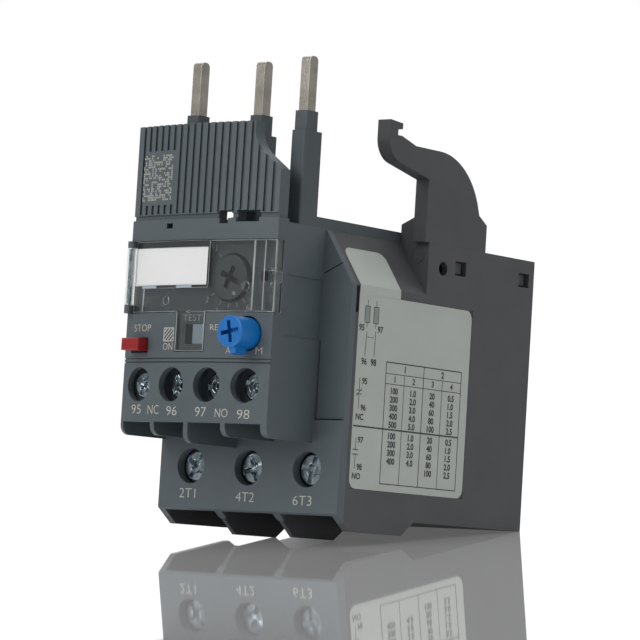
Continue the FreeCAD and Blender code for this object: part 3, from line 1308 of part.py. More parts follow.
def contacts():
    """Carrier with the two bridges that open 95-96 and close 97-98."""
    y = ("carrier_face", "carrier_face + carrier_depth")
    z = ("carrier_foot", "carrier_top")
    strip_back = "control_bar_face + control_bar"
    level = around("contact_level", "contact_height / 2")
    pieces = [box("CarrierBeam", ("carrier_left", "carrier_right"), y, z),
              box("CarrierFinger", ("carrier_left", "carrier_left + finger"),
                  ("stop_flange_face + stop_flange_depth + stop_travel + free_gap", y[1]), z),
              box("CarrierNc", around("control_middle - control_pitch", "finger"),
                  (strip_back + " + seat + blade", y[1]), z),
              box("CarrierNo", around("control_middle + control_pitch", "finger"),
                  ("control_bar_face - contact_gap", y[1]), z),
              box("CarrierLink", around("0", "lever_arm_half"),
                  (y[0], "lever_y - lever_arm / 2 - free_gap"), z)]
    node("contact_carrier", fuse("ContactCarrier", *pieces))
    half = "(control_pitch + contact_width) / 2"
    node("nc_bridge", box("NcBridge", around("control_middle - control_pitch", half),
                          (strip_back + " + seat", strip_back + " + seat + blade"), level))
    no_face = "control_bar_face - contact_gap"
    node("no_bridge", box("NoBridge", around("control_middle + control_pitch", half),
                          (no_face + " - blade", no_face), level))


def main():
    """Build every sub-part, check it and write it."""
    fill_sheet()
    main_housing()
    front_housing()
    rib_shroud()
    top_cover()
    mounting_hook()
    contact_pins()
    clear_cover()
    setting_dial()
    stop_button()
    reset_group()
    test_slider()
    terminals()
    thermal_works()
    trip_works()
    contacts()
    doc.recompute()
    for obj in doc.Objects:
        bad = [s for s in obj.State if s in ("Invalid", "Error")]
        if bad:
            raise RuntimeError("%s did not build: %s" % (obj.Label, bad))
    os.makedirs("parts", exist_ok=True)
    for label, feature in nodes.items():
        shape = feature.Shape
        if shape.isNull() or not shape.isValid() or len(shape.Solids) != 1:
            raise RuntimeError("%s is not one valid solid: %d" % (label, len(shape.Solids)))
        shape.exportStep("parts/%s.step" % label)


main()
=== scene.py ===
"""Look of a three-pole thermal overload relay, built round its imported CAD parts.

Sizes are in millimetres in the maker's frame: X runs across the front, Y from the foremost
line of the curved front to the back, Z up.  Everything is placed in metres in the CAD frame.
"""

import logging
import math
import random
from dataclasses import dataclass
from enum import Enum

import bmesh
import bpy
from mathutils import Matrix, Vector


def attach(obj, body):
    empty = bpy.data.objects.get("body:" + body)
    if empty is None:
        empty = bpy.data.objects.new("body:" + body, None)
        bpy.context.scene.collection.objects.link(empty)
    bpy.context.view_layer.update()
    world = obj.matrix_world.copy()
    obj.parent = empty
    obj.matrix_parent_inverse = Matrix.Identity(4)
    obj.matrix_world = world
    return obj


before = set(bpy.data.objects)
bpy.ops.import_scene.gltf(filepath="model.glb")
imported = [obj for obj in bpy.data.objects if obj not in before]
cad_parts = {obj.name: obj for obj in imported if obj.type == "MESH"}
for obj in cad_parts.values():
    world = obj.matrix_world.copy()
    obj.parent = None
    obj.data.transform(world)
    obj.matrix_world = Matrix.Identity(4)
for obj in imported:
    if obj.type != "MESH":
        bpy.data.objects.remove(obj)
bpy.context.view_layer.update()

LOG = logging.getLogger("overload_relay")
MM = 0.001
FRONT_SHIFT = -34.8
FRONT_RADIUS = 108.7
HALF_WIDTH = 22.5
FACET_RUN, FACET_RISE = 7.1, 10.4
RAMP_STOPS = (0.35, 0.65)
GLOSS_SPREAD = 0.12
BUMP_STRENGTH = 0.4
RING_STEPS = 32
LONG_STROKE, STROKE_STEP = 3.0, 1.5
WELD = 1e-7
Point = tuple[float, float, float]
Pair = tuple[float, float]


def place(x: float, y: float, z: float) -> Vector:
    """Turn a point in the maker's frame into metres in the CAD frame."""
    return Vector((x * MM, (y + FRONT_SHIFT) * MM, z * MM))


def linear(shade: str) -> tuple[float, float, float, float]:
    """Turn an sRGB hex colour into linear light.

    Args:
        shade: Six hex digits with a leading hash.

    Returns:
        Red, green, blue and a full alpha.
    """
    parts = [int(shade[i:i + 2], 16) / 255 for i in (1, 3, 5)]
    light = [p / 12.92 if p <= 0.04045 else ((p + 0.055) / 1.055) ** 2.4 for p in parts]
    return light[0], light[1], light[2], 1.0


class Surface(Enum):
    """A face of the relay that carries flat marks: how far it lies behind the curved front,
    or its depth where it is flat."""

    FRONT = 0.0
    TONGUE = 1.1
    RECESS = 2.2
    SHROUD = 0.251
    DIAL = 1.55
    MAIN = 14.8
    SIDE = HALF_WIDTH
    GUSSET = 38.66
    FACET = 48.6

    def at(self, across: float, up: float, lift: float) -> Vector:
        """Find the point of a mark on this face.

        Args:
            across: Distance along X, or along Y on the side and the facet, in mm.
            up: Height, or distance up the slope on the facet, in mm.
            lift: Distance in front of the face in mm.

        Returns:
            The point in metres in the CAD frame.
        """
        if self is Surface.SIDE:
            return place(self.value + lift, across, up)
        if self is Surface.FACET:
            lean = math.atan2(FACET_RUN, FACET_RISE)
            return place(HALF_WIDTH - up * math.sin(lean) + lift * math.cos(lean), across,
                         self.value + up * math.cos(lean) + lift * math.sin(lean))
        if self in (Surface.MAIN, Surface.DIAL, Surface.GUSSET):
            return place(across, self.value - lift, up)
        bow = FRONT_RADIUS - math.sqrt(FRONT_RADIUS ** 2 - across ** 2)
        return place(across, bow + self.value - lift, up)


def add_node(tree: bpy.types.NodeTree, kind: str,
             links: dict[str | int, bpy.types.NodeSocket] | None = None,
             **values: object) -> bpy.types.Node:
    """Add a shader node with its settings and links.

    Args:
        tree: The material's or world's node tree.
        kind: Blender's name of the node type.
        links: Sockets to join, by the name or number of the new node's input.
        **values: Settings, and constant inputs with underscores for spaces.

    Returns:
        The new node.
    """
    node = tree.nodes.new(kind)
    for name, value in values.items():
        if name in node.bl_rna.properties:
            setattr(node, name, value)
        else:
            node.inputs[name.replace("_", " ")].default_value = value
    for name, socket in (links or {}).items():
        tree.links.new(socket, node.inputs[name])
    return node


@dataclass(frozen=True)
class Finish:
    """A finish: its two shades, gloss and fine relief, with pattern sizes in mm."""

    name: str
    shade: str
    second: str
    roughness: float = 0.5
    metallic: float = 0.0
    grain: float = 0.4
    relief: float = 0.02
    mottle: float = 9.0
    edge: float = 0.12
    coat: float = 0.0
    transmission: float = 0.0
    ior: float = 1.5

    def material(self) -> bpy.types.Material:
        """Build the finish as a procedural material, once."""
        known = bpy.data.materials.get(self.name)
        if known is not None:
            return known
        material = bpy.data.materials.new(self.name)
        material.use_nodes = True
        tree = material.node_tree
        tree.nodes.clear()
        where = add_node(tree, "ShaderNodeTexCoord").outputs["Object"]
        mottle = add_node(tree, "ShaderNodeTexNoise", {"Vector": where}, Scale=1 / (self.mottle * MM))
        mottle.inputs["Detail"].default_value = 3.0
        ramp = add_node(tree, "ShaderNodeValToRGB", {"Fac": mottle.outputs["Fac"]})
        for stop, level, shade in zip(ramp.color_ramp.elements, RAMP_STOPS, (self.shade, self.second)):
            stop.position = level
            stop.color = linear(shade)
        grain = add_node(tree, "ShaderNodeTexNoise", {"Vector": where}, Scale=1 / (self.grain * MM))
        gloss = add_node(tree, "ShaderNodeMapRange", {"Value": grain.outputs["Fac"]},
                         To_Min=self.roughness * (1 - GLOSS_SPREAD),
                         To_Max=self.roughness * (1 + GLOSS_SPREAD))
        links = {"Base Color": ramp.outputs["Color"], "Roughness": gloss.outputs["Result"],
                 "Normal": self.relief_normal(tree, grain.outputs["Fac"])}
        shader = add_node(tree, "ShaderNodeBsdfPrincipled", links, Metallic=self.metallic,
                          IOR=self.ior, Coat_Weight=self.coat,
                          Transmission_Weight=self.transmission)
        add_node(tree, "ShaderNodeOutputMaterial", {"Surface": shader.outputs["BSDF"]})
        return material

    def relief_normal(self, tree: bpy.types.NodeTree, height: bpy.types.NodeSocket) -> bpy.types.NodeSocket:
        """Round the edges a little and raise the grain.

        Args:
            tree: The material's node tree.
            height: The pattern that the grain is raised by.

        Returns:
            The socket that holds the changed normal.
        """
        edge = add_node(tree, "ShaderNodeBevel", samples=4, Radius=self.edge * MM)
        bump = add_node(tree, "ShaderNodeBump", {"Height": height, "Normal": edge.outputs["Normal"]},
                        Strength=BUMP_STRENGTH, Distance=self.relief * MM)
        return bump.outputs["Normal"]


# Moulded polyamide from a spark-eroded tool: an even grey with a fine dull grain.
FRONT_GREY = Finish("moulded polyamide grey", "#495257", "#4C555A", 0.48)
# The same polyamide in the duller, warmer shade of the rear mould.
REAR_GREY = Finish("moulded polyamide dark grey", "#3F4043", "#434447", 0.52)
# The lid's moulding, between the two in shade.
LID_GREY = Finish("moulded polyamide lid grey", "#424A4E", "#454D51", 0.5)
# Moulded polyamide of the dial, smoother than the housing.
DIAL_GREY = Finish("moulded polyamide dial grey", "#474D50", "#4A5053", 0.42)
# Injection-moulded polycarbonate: water-clear with bright edges.
CLEAR = Finish("moulded clear polycarbonate", "#F6FAFA", "#FAFDFD", 0.03, relief=0.001, edge=0.2,
               transmission=1.0, ior=1.585)
# Punched polycarbonate sheet: flat white with a soft sheen.
MARKER_WHITE = Finish("punched white polycarbonate", "#E0E0E0", "#DDDDDD", 0.5, relief=0.004)
# Glossy moulded ABS of the stop button: deep red with a soft highlight.
RED = Finish("moulded red abs", "#8A1619", "#8F191C", 0.34, relief=0.006)
# Glossy moulded ABS of the reset knob: strong blue with a soft highlight.
BLUE = Finish("moulded blue abs", "#0069B4", "#0066AE", 0.36, relief=0.006)
# Moulded acetal of the test slider: pale and waxy.
PALE = Finish("moulded pale acetal", "#A2AFBA", "#9CA9B4", 0.4, relief=0.006)
# Steel with blue-passivated zinc: bright, cold, slightly uneven from the plating barrel.
ZINC = Finish("blue zinc plated steel", "#C4D0D6", "#8E9CA4", 0.2, metallic=1.0, grain=0.7,
              relief=0.05, mottle=1.6, edge=0.15)
# Drawn copper with nickel plate: warm silver with faint drawing streaks.
NICKEL = Finish("nickel plated copper", "#CBC6BB", "#B9B4A9", 0.25, metallic=1.0, grain=0.5,
                relief=0.03, mottle=3.0, edge=0.2)
# Stamped copper left bare: warm, dulled by handling.
COPPER = Finish("stamped bare copper", "#C07A52", "#B06C46", 0.36, metallic=1.0)
# Rolled bimetal and heater strip: dull warm steel.
STRIP = Finish("rolled strip metal", "#A9A49A", "#979288", 0.4, metallic=1.0)
# Moulded phenolic of the works: matt amber grey.
PHENOLIC = Finish("moulded phenolic", "#B8AD90", "#AFA488", 0.5)
# Pad-printed ink: matt pale grey, a little thin over the grain.
PALE_INK = Finish("pad printed pale ink", "#B9B8B1", "#AAA9A2", 0.7, relief=0.002, edge=0.01, mottle=0.5)
# Dimmer ink on the dial and patch, thinned by the clear cover.
DIM_INK = Finish("pad printed dim ink", "#9FA19C", "#8C8E8A", 0.7, relief=0.002, edge=0.01, mottle=0.5)
# Thermal-transfer print of the label: near black, matt.
DARK_INK = Finish("thermal transfer print", "#2E3134", "#34373A", 0.65, relief=0.002, edge=0.01)
# Light fill inside the printed symbols.
GREY_INK = Finish("thermal transfer tint", "#7F8480", "#868B87", 0.65, relief=0.002, edge=0.01)
# Painted highlight: pale strips laid along the edges of the clear moulding, coloured to stand in for the
# light those edges gather.
PAINTED_EDGE_HIGHLIGHT = Finish("painted highlight on polycarbonate edge", "#9BA0A0", "#7F8484", 0.25, relief=0.001, edge=0.02, ior=1.585)
# Painted shade: a near-black sheet laid in the depths of slots and gaps in the mouldings, standing in for
# the shade where little light gets in.
PAINTED_SHADE = Finish("painted shade in slots and gaps", "#1B1E20", "#1F2224", 0.8, relief=0.002, edge=0.02)
# Metallised polyester label stock: pale greenish silver, satin.
LABEL_FILM = Finish("metallised polyester film", "#A8ADA8", "#A4A9A4", 0.42, relief=0.003, edge=0.02)

NODE_FINISHES = {
    "main_housing": REAR_GREY, "front_housing": FRONT_GREY, "rib_shroud": FRONT_GREY,
    "top_cover": LID_GREY, "mounting_hook": REAR_GREY, "clear_cover": CLEAR, "cover_pin": ZINC,
    "marker_plate": MARKER_WHITE, "setting_dial": DIAL_GREY, "stop_button": RED,
    "reset_knob": BLUE, "reset_plunger": BLUE, "reset_spring": ZINC, "test_slider": PALE,
    "slide_bar": PHENOLIC, "trip_lever": PHENOLIC, "lever_pin": ZINC, "works_frame": STRIP,
    "contact_carrier": PHENOLIC, "nc_bridge": COPPER, "no_bridge": COPPER,
    "contact_pin": NICKEL, "main_screw": ZINC, "main_clamp": ZINC, "main_bar": COPPER,
    "control_screw": ZINC, "control_clamp": ZINC, "control_bar": COPPER,
    "bimetal": STRIP, "heater": STRIP,
}


def dress_frame() -> None:
    """Give every CAD node its finish through the object's own slots."""
    for name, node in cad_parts.items():
        finish = NODE_FINISHES.get(name) or NODE_FINISHES[name.rsplit("_", 1)[0]]
        for slot in node.material_slots:
            slot.link = "OBJECT"
            slot.material = finish.material()
    LOG.info("dressed %d CAD parts", len(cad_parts))


class Print:
    """A sheet of marks on one face, gathered into one thin closed mesh."""

    def __init__(self, surface: Surface, lift: float = 0.02, thickness: float = 0.02) -> None:
        """Start an empty sheet.

        Args:
            surface: The face it lies on.
            lift: Gap between the face and the back of the marks in mm.
            thickness: Thickness of the marks in mm.
        """
        self.surface = surface
        self.lift = lift
        self.thickness = thickness
        self.mesh = bmesh.new()

    def lay(self, local: bmesh.types.BMesh, centre: Pair, turn: float = 0.0) -> None:
        """Wrap a mark drawn flat in mm, with Z from 0 to 1, onto the face.

        Args:
            local: The mark; it is freed here.
            centre: Where the mark's own origin comes to lie.
            turn: Turn in the face in degrees, anticlockwise.
        """
        angle = math.radians(turn)
        for vert in local.verts:
            x, y, z = vert.co
            vert.co = self.surface.at(centre[0] + x * math.cos(angle) - y * math.sin(angle),
                                      centre[1] + x * math.sin(angle) + y * math.cos(angle),
                                      self.lift + z * self.thickness)
        data = bpy.data.meshes.new("mark")
        local.to_mesh(data)
        local.free()
        self.mesh.from_mesh(data)
        bpy.data.meshes.remove(data)

    def bar(self, start: Pair, end: Pair, width: float = 0.14) -> None:
        """Draw a straight stroke between two points of the face."""
        length = math.hypot(end[0] - start[0], end[1] - start[1])
        local = bmesh.new()
        bmesh.ops.create_cube(local, size=1.0)
        along = [e for e in local.edges if abs(e.verts[0].co.x - e.verts[1].co.x) > 0.5]
        if length > LONG_STROKE:
            bmesh.ops.subdivide_edges(local, edges=along, cuts=int(length / STROKE_STEP))
        for vert in local.verts:
            vert.co = Vector((vert.co.x * length, vert.co.y * width, vert.co.z + 0.5))
        middle = ((start[0] + end[0]) / 2, (start[1] + end[1]) / 2)
        self.lay(local, middle, math.degrees(math.atan2(end[1] - start[1], end[0] - start[0])))

    def block(self, low: Pair, high: Pair) -> None:
        """Fill an upright rectangle between two corners."""
        middle = (low[1] + high[1]) / 2
        self.bar((low[0], middle), (high[0], middle), high[1] - low[1])

    def outline(self, low: Pair, high: Pair, width: float = 0.14) -> None:
        """Draw the four sides of a rectangle."""
        self.bar(low, (high[0], low[1]), width)
        self.bar((low[0], high[1]), high, width)
        self.bar(low, (low[0], high[1]), width)
        self.bar((high[0], low[1]), high, width)

    def ring(self, centre: Pair, outer: float, inner: float) -> None:
        """Turn a flat ring about a point of the face, or a disc where the inner radius is nil."""
        local = bmesh.new()
        if inner > 0:
            bmesh.ops.create_circle(local, segments=4, radius=math.sqrt(0.5))
            bmesh.ops.rotate(local, verts=local.verts, matrix=Matrix.Rotation(math.pi / 4, 3, "Z"))
            for vert in local.verts:
                vert.co = Vector(((outer + inner) / 2 + vert.co.x * (outer - inner), 0, vert.co.y + 0.5))
            bmesh.ops.spin(local, geom=local.verts[:] + local.edges[:], axis=(0, 0, 1), steps=RING_STEPS,
                           angle=2 * math.pi, use_merge=True)
        else:
            bmesh.ops.create_cone(local, cap_ends=True, segments=RING_STEPS, radius1=outer,
                                  radius2=outer, depth=1.0)
            bmesh.ops.translate(local, verts=local.verts, vec=(0, 0, 0.5))
        self.lay(local, centre)

    def text(self, words: str, centre: Pair, height: float, width: float = 0.0,
             weight: float = -0.012) -> None:
        """Set a line of plain letters.

        Args:
            words: The letters.
            centre: Middle of the line on the face.
            height: Height of the letters in mm.
            width: Width of the whole line in mm, or nil for the letters' own.
            weight: How much bolder than the plain face the strokes are, in shares of the size.
        """
        curve = bpy.data.curves.new("letters", "FONT")
        curve.body = words
        curve.extrude = 0.5
        curve.resolution_u = 3
        curve.offset = weight
        carrier = bpy.data.objects.new("letters", curve)
        bpy.context.scene.collection.objects.link(carrier)
        scene_now = bpy.context.evaluated_depsgraph_get()
        flat = bpy.data.meshes.new_from_object(carrier.evaluated_get(scene_now))
        bpy.data.objects.remove(carrier)
        bpy.data.curves.remove(curve)
        local = bmesh.new()
        local.from_mesh(flat)
        bpy.data.meshes.remove(flat)
        low = Vector([min(v.co[k] for v in local.verts) for k in range(3)])
        high = Vector([max(v.co[k] for v in local.verts) for k in range(3)])
        size = high - low
        scale = (width / size.x if width else height / size.y, height / size.y)
        for vert in local.verts:
            vert.co = Vector(((vert.co.x - low.x - size.x / 2) * scale[0],
                              (vert.co.y - low.y - size.y / 2) * scale[1],
                              (vert.co.z - low.z) / size.z))
        self.lay(local, centre)

    def piece(self, name: str, finish: Finish, body: str) -> bpy.types.Object:
        """Finish the sheet as a piece that moves with a body.

        Args:
            name: Plain name of the piece.
            finish: What it is made of.
            body: The CAD body it rides on.

        Returns:
            The new object.
        """
        bmesh.ops.remove_doubles(self.mesh, verts=self.mesh.verts, dist=WELD)
        bmesh.ops.recalc_face_normals(self.mesh, faces=self.mesh.faces)
        data = bpy.data.meshes.new(name)
        self.mesh.to_mesh(data)
        self.mesh.free()
        data.materials.append(finish.material())
        piece = bpy.data.objects.new(name, data)
        bpy.context.scene.collection.objects.link(piece)
        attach(piece, body)
        LOG.info("%s: %d faces", name, len(data.polygons))
        return piece


@dataclass
class FrontMarks:
    """Plain terminal numbers and words on the front."""

    control_words: tuple[tuple[str, float, float, float, float], ...] = (
        ("95", -17.9, 22.9, 1.75, 2.8), ("NC", -12.9, 22.85, 1.7, 3.1), ("96", -7.75, 22.65, 1.75, 2.8),
        ("97", -0.2, 22.55, 1.75, 2.75), ("NO", 4.9, 22.4, 1.65, 3.0), ("98", 10.05, 22.25, 1.75, 2.85),
        ("STOP", -17.5, 38.65, 1.35, 5.0), ("ON", -9.9, 35.0, 1.35, 2.6), ("RESET", 3.5, 38.65, 1.15, 5.2),
        ("A", 5.6, 34.3, 1.2, 1.1), ("M", 12.75, 34.3, 1.3, 1.5))
    main_words: tuple[tuple[str, float, float, float, float], ...] = (
        ("2T1", -15.05, 7.55, 1.85, 4.1), ("4T2", -0.35, 7.2, 1.85, 4.6), ("6T3", 13.9, 6.95, 1.85, 4.6))
    flag_low: Pair = (-11.15, 36.05)
    flag_high: Pair = (-8.5, 38.55)

    def build(self) -> None:
        """Print both faces."""
        front = Print(Surface.FRONT)
        for words, x, z, height, width in self.control_words:
            front.text(words, (x, z), height, width)
        front.outline(self.flag_low, self.flag_high, 0.16)
        wide, high = self.flag_high[0] - self.flag_low[0], self.flag_high[1] - self.flag_low[1]
        for step in range(1, 6):
            reach = step * (wide + high) / 6
            front.bar((self.flag_high[0] - max(0.0, reach - high), self.flag_low[1] + min(reach, high)),
                      (self.flag_high[0] - min(reach, wide), self.flag_low[1] + max(0.0, reach - wide)), 0.2)
        front.piece("front_print", PALE_INK, "housing")
        main = Print(Surface.MAIN)
        for words, x, z, height, width in self.main_words:
            main.text(words, (x, z), height, width)
        main.piece("main_terminal_print", PALE_INK, "housing")
        tongue = Print(Surface.TONGUE)
        tongue.text("TEST", (-4.3, 40.55), 1.2, 4.7)
        tongue.bar((-5.0, 41.75), (-1.3, 41.75), 0.12)
        for hand in (-1, 1):
            tongue.bar((-6.0, 41.75), (-5.0, 41.75 + hand * 0.3), 0.16)
        tongue.piece("test_print", PALE_INK, "housing")


@dataclass
class DialScale:
    """Plain numbers and ticks round the setting dial, with its index dot, and painted shade in its gap, slot
    and seal hole.
    """

    centre: Pair = (4.0, 48.3)
    tick_inner: float = 5.0
    tick_outer: float = 5.8
    number_radius: float = 7.1
    steps: tuple[tuple[str, float], ...] = (("1", 126.0), ("2", 216.0), ("3", 243.0), ("4", 265.0),
                                            ("5", 287.0), ("6", 306.0))
    dot: Pair = (5.3, 45.25)
    gap: Pair = (4.75, 4.36)
    seal: Pair = (11.5, 48.45)
    slot_depth: float = 0.6
    slot_angle: float = -24.0
    slot_reach: float = 2.28
    slot_width: float = 1.06
    dot_radius: float = 0.38
    lowest_number: float = 41.9

    def build(self) -> None:
        """Print the scale on the recess floor and the dot on the dial, and lay painted shade in the dial's
        gap, behind the seal hole and in the dial's slot.
        """
        scale = Print(Surface.RECESS)
        for words, angle in self.steps:
            aim = (math.cos(math.radians(angle)), math.sin(math.radians(angle)))
            points = [(self.centre[0] + r * aim[0], self.centre[1] + r * aim[1])
                      for r in (self.tick_inner, self.tick_outer, self.number_radius)]
            scale.bar(points[0], points[1], 0.14)
            if points[2][1] > self.lowest_number:
                scale.text(words, points[2], 1.15)
        scale.piece("dial_scale", PALE_INK, "housing")
        # Painted shade: a dark ring in the gap round the dial and a dark block behind the seal hole. The
        # inner radius clears the dial between the ring's corners too, not only at them.
        gaps = Print(Surface.RECESS, 0.01, 0.01)
        gaps.ring(self.centre, self.gap[0], self.gap[1])
        gaps.block((self.seal[0] - 0.55, self.seal[1] - 0.95),
                   (self.seal[0] + 0.55, self.seal[1] + 0.95))
        gaps.piece("recess_painted_shade", PAINTED_SHADE, "housing")
        # Painted shade on the floor of the dial's cross slot.
        slots = Print(Surface.DIAL, -self.slot_depth + 0.01, 0.01)
        for turn in (self.slot_angle, self.slot_angle + 90.0):
            reach = (self.slot_reach * math.cos(math.radians(turn)),
                     self.slot_reach * math.sin(math.radians(turn)))
            slots.bar((self.centre[0] - reach[0], self.centre[1] - reach[1]),
                      (self.centre[0] + reach[0], self.centre[1] + reach[1]), self.slot_width)
        slots.piece("dial_slot_painted_shade", PAINTED_SHADE, "dial")
        dot = Print(Surface.DIAL)
        dot.ring(self.dot, self.dot_radius, 0.0)
        dot.piece("dial_index", PALE_INK, "dial")


@dataclass
class CoverDetails:
    """Ejector rings, marker clips, and painted highlights along the edges of the clear cover."""

    rings: tuple[tuple[float, float, float], ...] = ((-11.2, 43.9, 0.85), (8.8, 46.5, 0.9))
    clips: tuple[Pair, ...] = ((-18.2, -14.0), (-8.4, -4.3))
    clip_level: Pair = (46.25, 46.75)
    ring_width: float = 0.1
    on_face: float = 0.005
    on_window: float = 0.205
    raised_edge_highlights: tuple[tuple[Pair, Pair, float], ...] = (
        ((-0.15, 46.3), (-0.15, 55.2), 0.16), ((-17.75, 41.8), (-17.75, 46.1), 0.3),
        ((-17.6, 46.25), (-0.3, 46.25), 0.1), ((10.6, 41.9), (10.6, 55.2), 0.42),
        ((13.0, 41.9), (13.0, 55.2), 0.24))
    flat_edge_highlights: tuple[tuple[Pair, Pair, float], ...] = (
        ((-20.45, 41.8), (-20.45, 55.2), 0.14), ((15.25, 41.8), (15.25, 55.2), 0.24),
        ((-20.4, 55.27), (15.3, 55.27), 0.12), ((-20.4, 41.75), (-8.1, 41.75), 0.12),
        ((-0.5, 41.75), (15.3, 41.75), 0.12), ((-7.95, 34.2), (-7.95, 41.7), 0.26),
        ((-0.7, 34.2), (-0.7, 41.7), 0.26), ((-7.9, 34.2), (-0.7, 34.2), 0.12))

    def build(self) -> None:
        """Raise the rings and clips on the cover, and lay the pale bars of painted highlight along its
        edges.
        """
        rings = Print(Surface.FRONT, self.on_face, 0.03)
        for x, z, radius in self.rings:
            rings.ring((x, z), radius, radius - self.ring_width)
        rings.piece("cover_ejector_rings", CLEAR, "cover")
        # Painted highlight: pale bars on the cover's edges stand in for the light they catch.
        raised = Print(Surface.FRONT, self.on_window, 0.01)
        for start, end, width in self.raised_edge_highlights:
            raised.bar(start, end, width)
        raised.piece("cover_raised_edge_highlights", PAINTED_EDGE_HIGHLIGHT, "cover")
        flat = Print(Surface.FRONT, self.on_face, 0.01)
        for start, end, width in self.flat_edge_highlights:
            flat.bar(start, end, width)
        flat.piece("cover_flat_edge_highlights", PAINTED_EDGE_HIGHLIGHT, "cover")
        clips = Print(Surface.FRONT, self.on_window, 0.05)
        for left, right in self.clips:
            clips.block((left, self.clip_level[0]), (right, self.clip_level[1]))
        clips.piece("marker_clips", PALE, "cover")


@dataclass
class ShroudPatch:
    """Generic dots on the ribbed shroud: a random fill of an even grid that encodes nothing."""

    low: Pair = (-20.4, 63.4)
    cells: tuple[int, int] = (20, 21)
    pitch: float = 0.43
    fill: float = 0.48
    dot_share: float = 0.82
    seed: int = 7

    def build(self) -> None:
        """Print every dot that the fixed draw picks."""
        draw = random.Random(self.seed)
        dots = Print(Surface.SHROUD)
        for column in range(self.cells[0]):
            for row in range(self.cells[1]):
                if draw.random() < self.fill:
                    x, z = self.low[0] + column * self.pitch, self.low[1] + row * self.pitch
                    dots.block((x, z), (x + self.pitch * self.dot_share, z + self.pitch * self.dot_share))
        dots.piece("shroud_dots", DIM_INK, "housing")


@dataclass
class RatingLabel:
    """Film label on the side and the slope, with plain numbers and common circuit symbols."""

    low: Pair = (17.97, 9.77)
    high: Pair = (54.03, 46.93)
    tab: Pair = (17.97, 30.6)
    tab_top: float = 8.8
    corner: float = 1.9
    film: float = 0.1
    columns: tuple[float, ...] = (27.4, 33.3, 39.4, 45.5, 51.6)
    rows: tuple[float, ...] = (34.6, 32.43, 30.45, 21.7, 11.2)
    row_pitch: float = 1.62
    first_row: float = 29.15
    letter: float = 1.3
    symbol_weight: float = 0.03
    table_weight: float = 0.035
    sunk: float = -0.15
    sunk_half: float = -0.075

    def sheet(self, surface: Surface, low: Pair, high: Pair, lift: float, corners: str) -> Print:
        """Cut one flat part of the film with some corners rounded.

        Args:
            surface: The face it is stuck on.
            low: Lower corner in mm.
            high: Upper corner in mm.
            lift: Gap to the face in mm, below nil inside the recess.
            corners: Which corners are round, such as "lr" for both lower and "LR" for both upper.

        Returns:
            The sheet.
        """
        sheet = Print(surface, lift, self.film)
        local = bmesh.new()
        bmesh.ops.create_grid(local, x_segments=1, y_segments=1, size=0.5)
        size = Vector((high[0] - low[0], high[1] - low[1], 1))
        for vert in local.verts:
            vert.co = Vector((vert.co.x * size.x, vert.co.y * size.y, 1.0))
        mark = {(False, False): "l", (True, False): "r", (False, True): "L", (True, True): "R"}
        round_ones = [v for v in local.verts if mark[v.co.x > 0, v.co.y > 0] in corners]
        bmesh.ops.bevel(local, geom=round_ones, affect="VERTICES", offset=self.corner, segments=6,
                        profile=0.5, material=-1)
        bmesh.ops.solidify(local, geom=local.faces[:], thickness=1.0)
        level = min(v.co.z for v in local.verts)
        bmesh.ops.translate(local, verts=local.verts, vec=(0, 0, -level))
        sheet.lay(local, ((low[0] + high[0]) / 2, (low[1] + high[1]) / 2))
        return sheet

    def symbols(self, ink: Print, tint: Print) -> None:
        """Draw two windings with their contacts, and a break and a make contact."""
        for y, top, foot, mark in ((20.65, 39.7, 20.5, ("95", "96")), (23.35, 40.1, 23.4, ("97", "98"))):
            ink.outline((y - 0.75, 41.55), (y + 0.75, 44.7))
            tint.block((y - 0.68, 41.62), (y + 0.68, 44.63))
            ink.bar((y, 44.7), (y, 45.9))
            ink.bar((y, 40.6), (y, 41.55))
            ink.bar((y + 0.1, top), (foot, 35.2))
            outer = 19.1 if mark[0] == "95" else 24.9
            ink.text(mark[0], (outer, 40.5), 1.3, weight=self.symbol_weight)
            ink.text(mark[1], (foot - 0.1, 34.1), 1.35, weight=self.symbol_weight)
        ink.bar((21.0, 38.8), (21.8, 38.8))
        ink.bar((22.2, 38.8), (22.9, 38.8))
        ink.bar((19.45, 28.5), (19.45, 30.95))
        ink.bar((19.45, 25.0), (19.45, 27.8))
        for level in (28.5, 27.8):
            ink.bar((18.6, level), (20.3, level))
        ink.bar((18.7, 27.4), (20.2, 28.9))
        ink.bar((19.35, 17.2), (19.35, 19.5))
        ink.bar((19.35, 13.6), (19.35, 16.3))
        for level in (17.2, 16.3):
            ink.bar((18.5, level), (20.2, level), 0.2)
        for words, y, z in (("95", 20.95, 30.35), ("96", 20.95, 25.3), ("NC", 20.0, 23.5),
                            ("97", 20.75, 19.1), ("98", 20.8, 13.95), ("NO", 20.0, 12.2)):
            ink.text(words, (y, z), 1.25, weight=self.symbol_weight)

    def table(self, ink: Print) -> None:
        """Draw the table and fill it with plain numbers."""
        top, second, third, middle, foot = self.rows
        for level, width in ((top, 0.22), (second, 0.14), (third, 0.14), (foot, 0.18)):
            ink.bar((self.columns[0], level), (self.columns[-1], level), width)
        ink.bar((18.2, middle), (self.columns[-1], middle), 0.3)
        for k, y in enumerate(self.columns):
            ink.bar((y, foot), (y, second if k % 2 else top), 0.18 if k in (0, 2, 4) else 0.13)
        for k, words in ((0, "1"), (2, "2")):
            ink.text(words, ((self.columns[k] + self.columns[k + 2]) / 2, (top + second) / 2),
                     self.letter, weight=self.table_weight)
        for k in range(4):
            ink.text(str(k + 1), ((self.columns[k] + self.columns[k + 1]) / 2, (second + third) / 2), 1.2,
                     weight=self.table_weight)
        for block, counts in ((0, (5, 5, 5, 5)), (1, (4, 4, 5, 5))):
            start = self.first_row if block == 0 else middle - 1.2
            for k, count in enumerate(counts):
                for row in range(count):
                    number = (row + 1) * (100, 10, 20, 5)[k] / (1, 10, 1, 10)[k]
                    words = "%d" % number if k % 2 == 0 else "%.1f" % number
                    ink.text(words, ((self.columns[k] + self.columns[k + 1]) / 2,
                                     start - row * self.row_pitch), self.letter,
                             weight=self.table_weight)

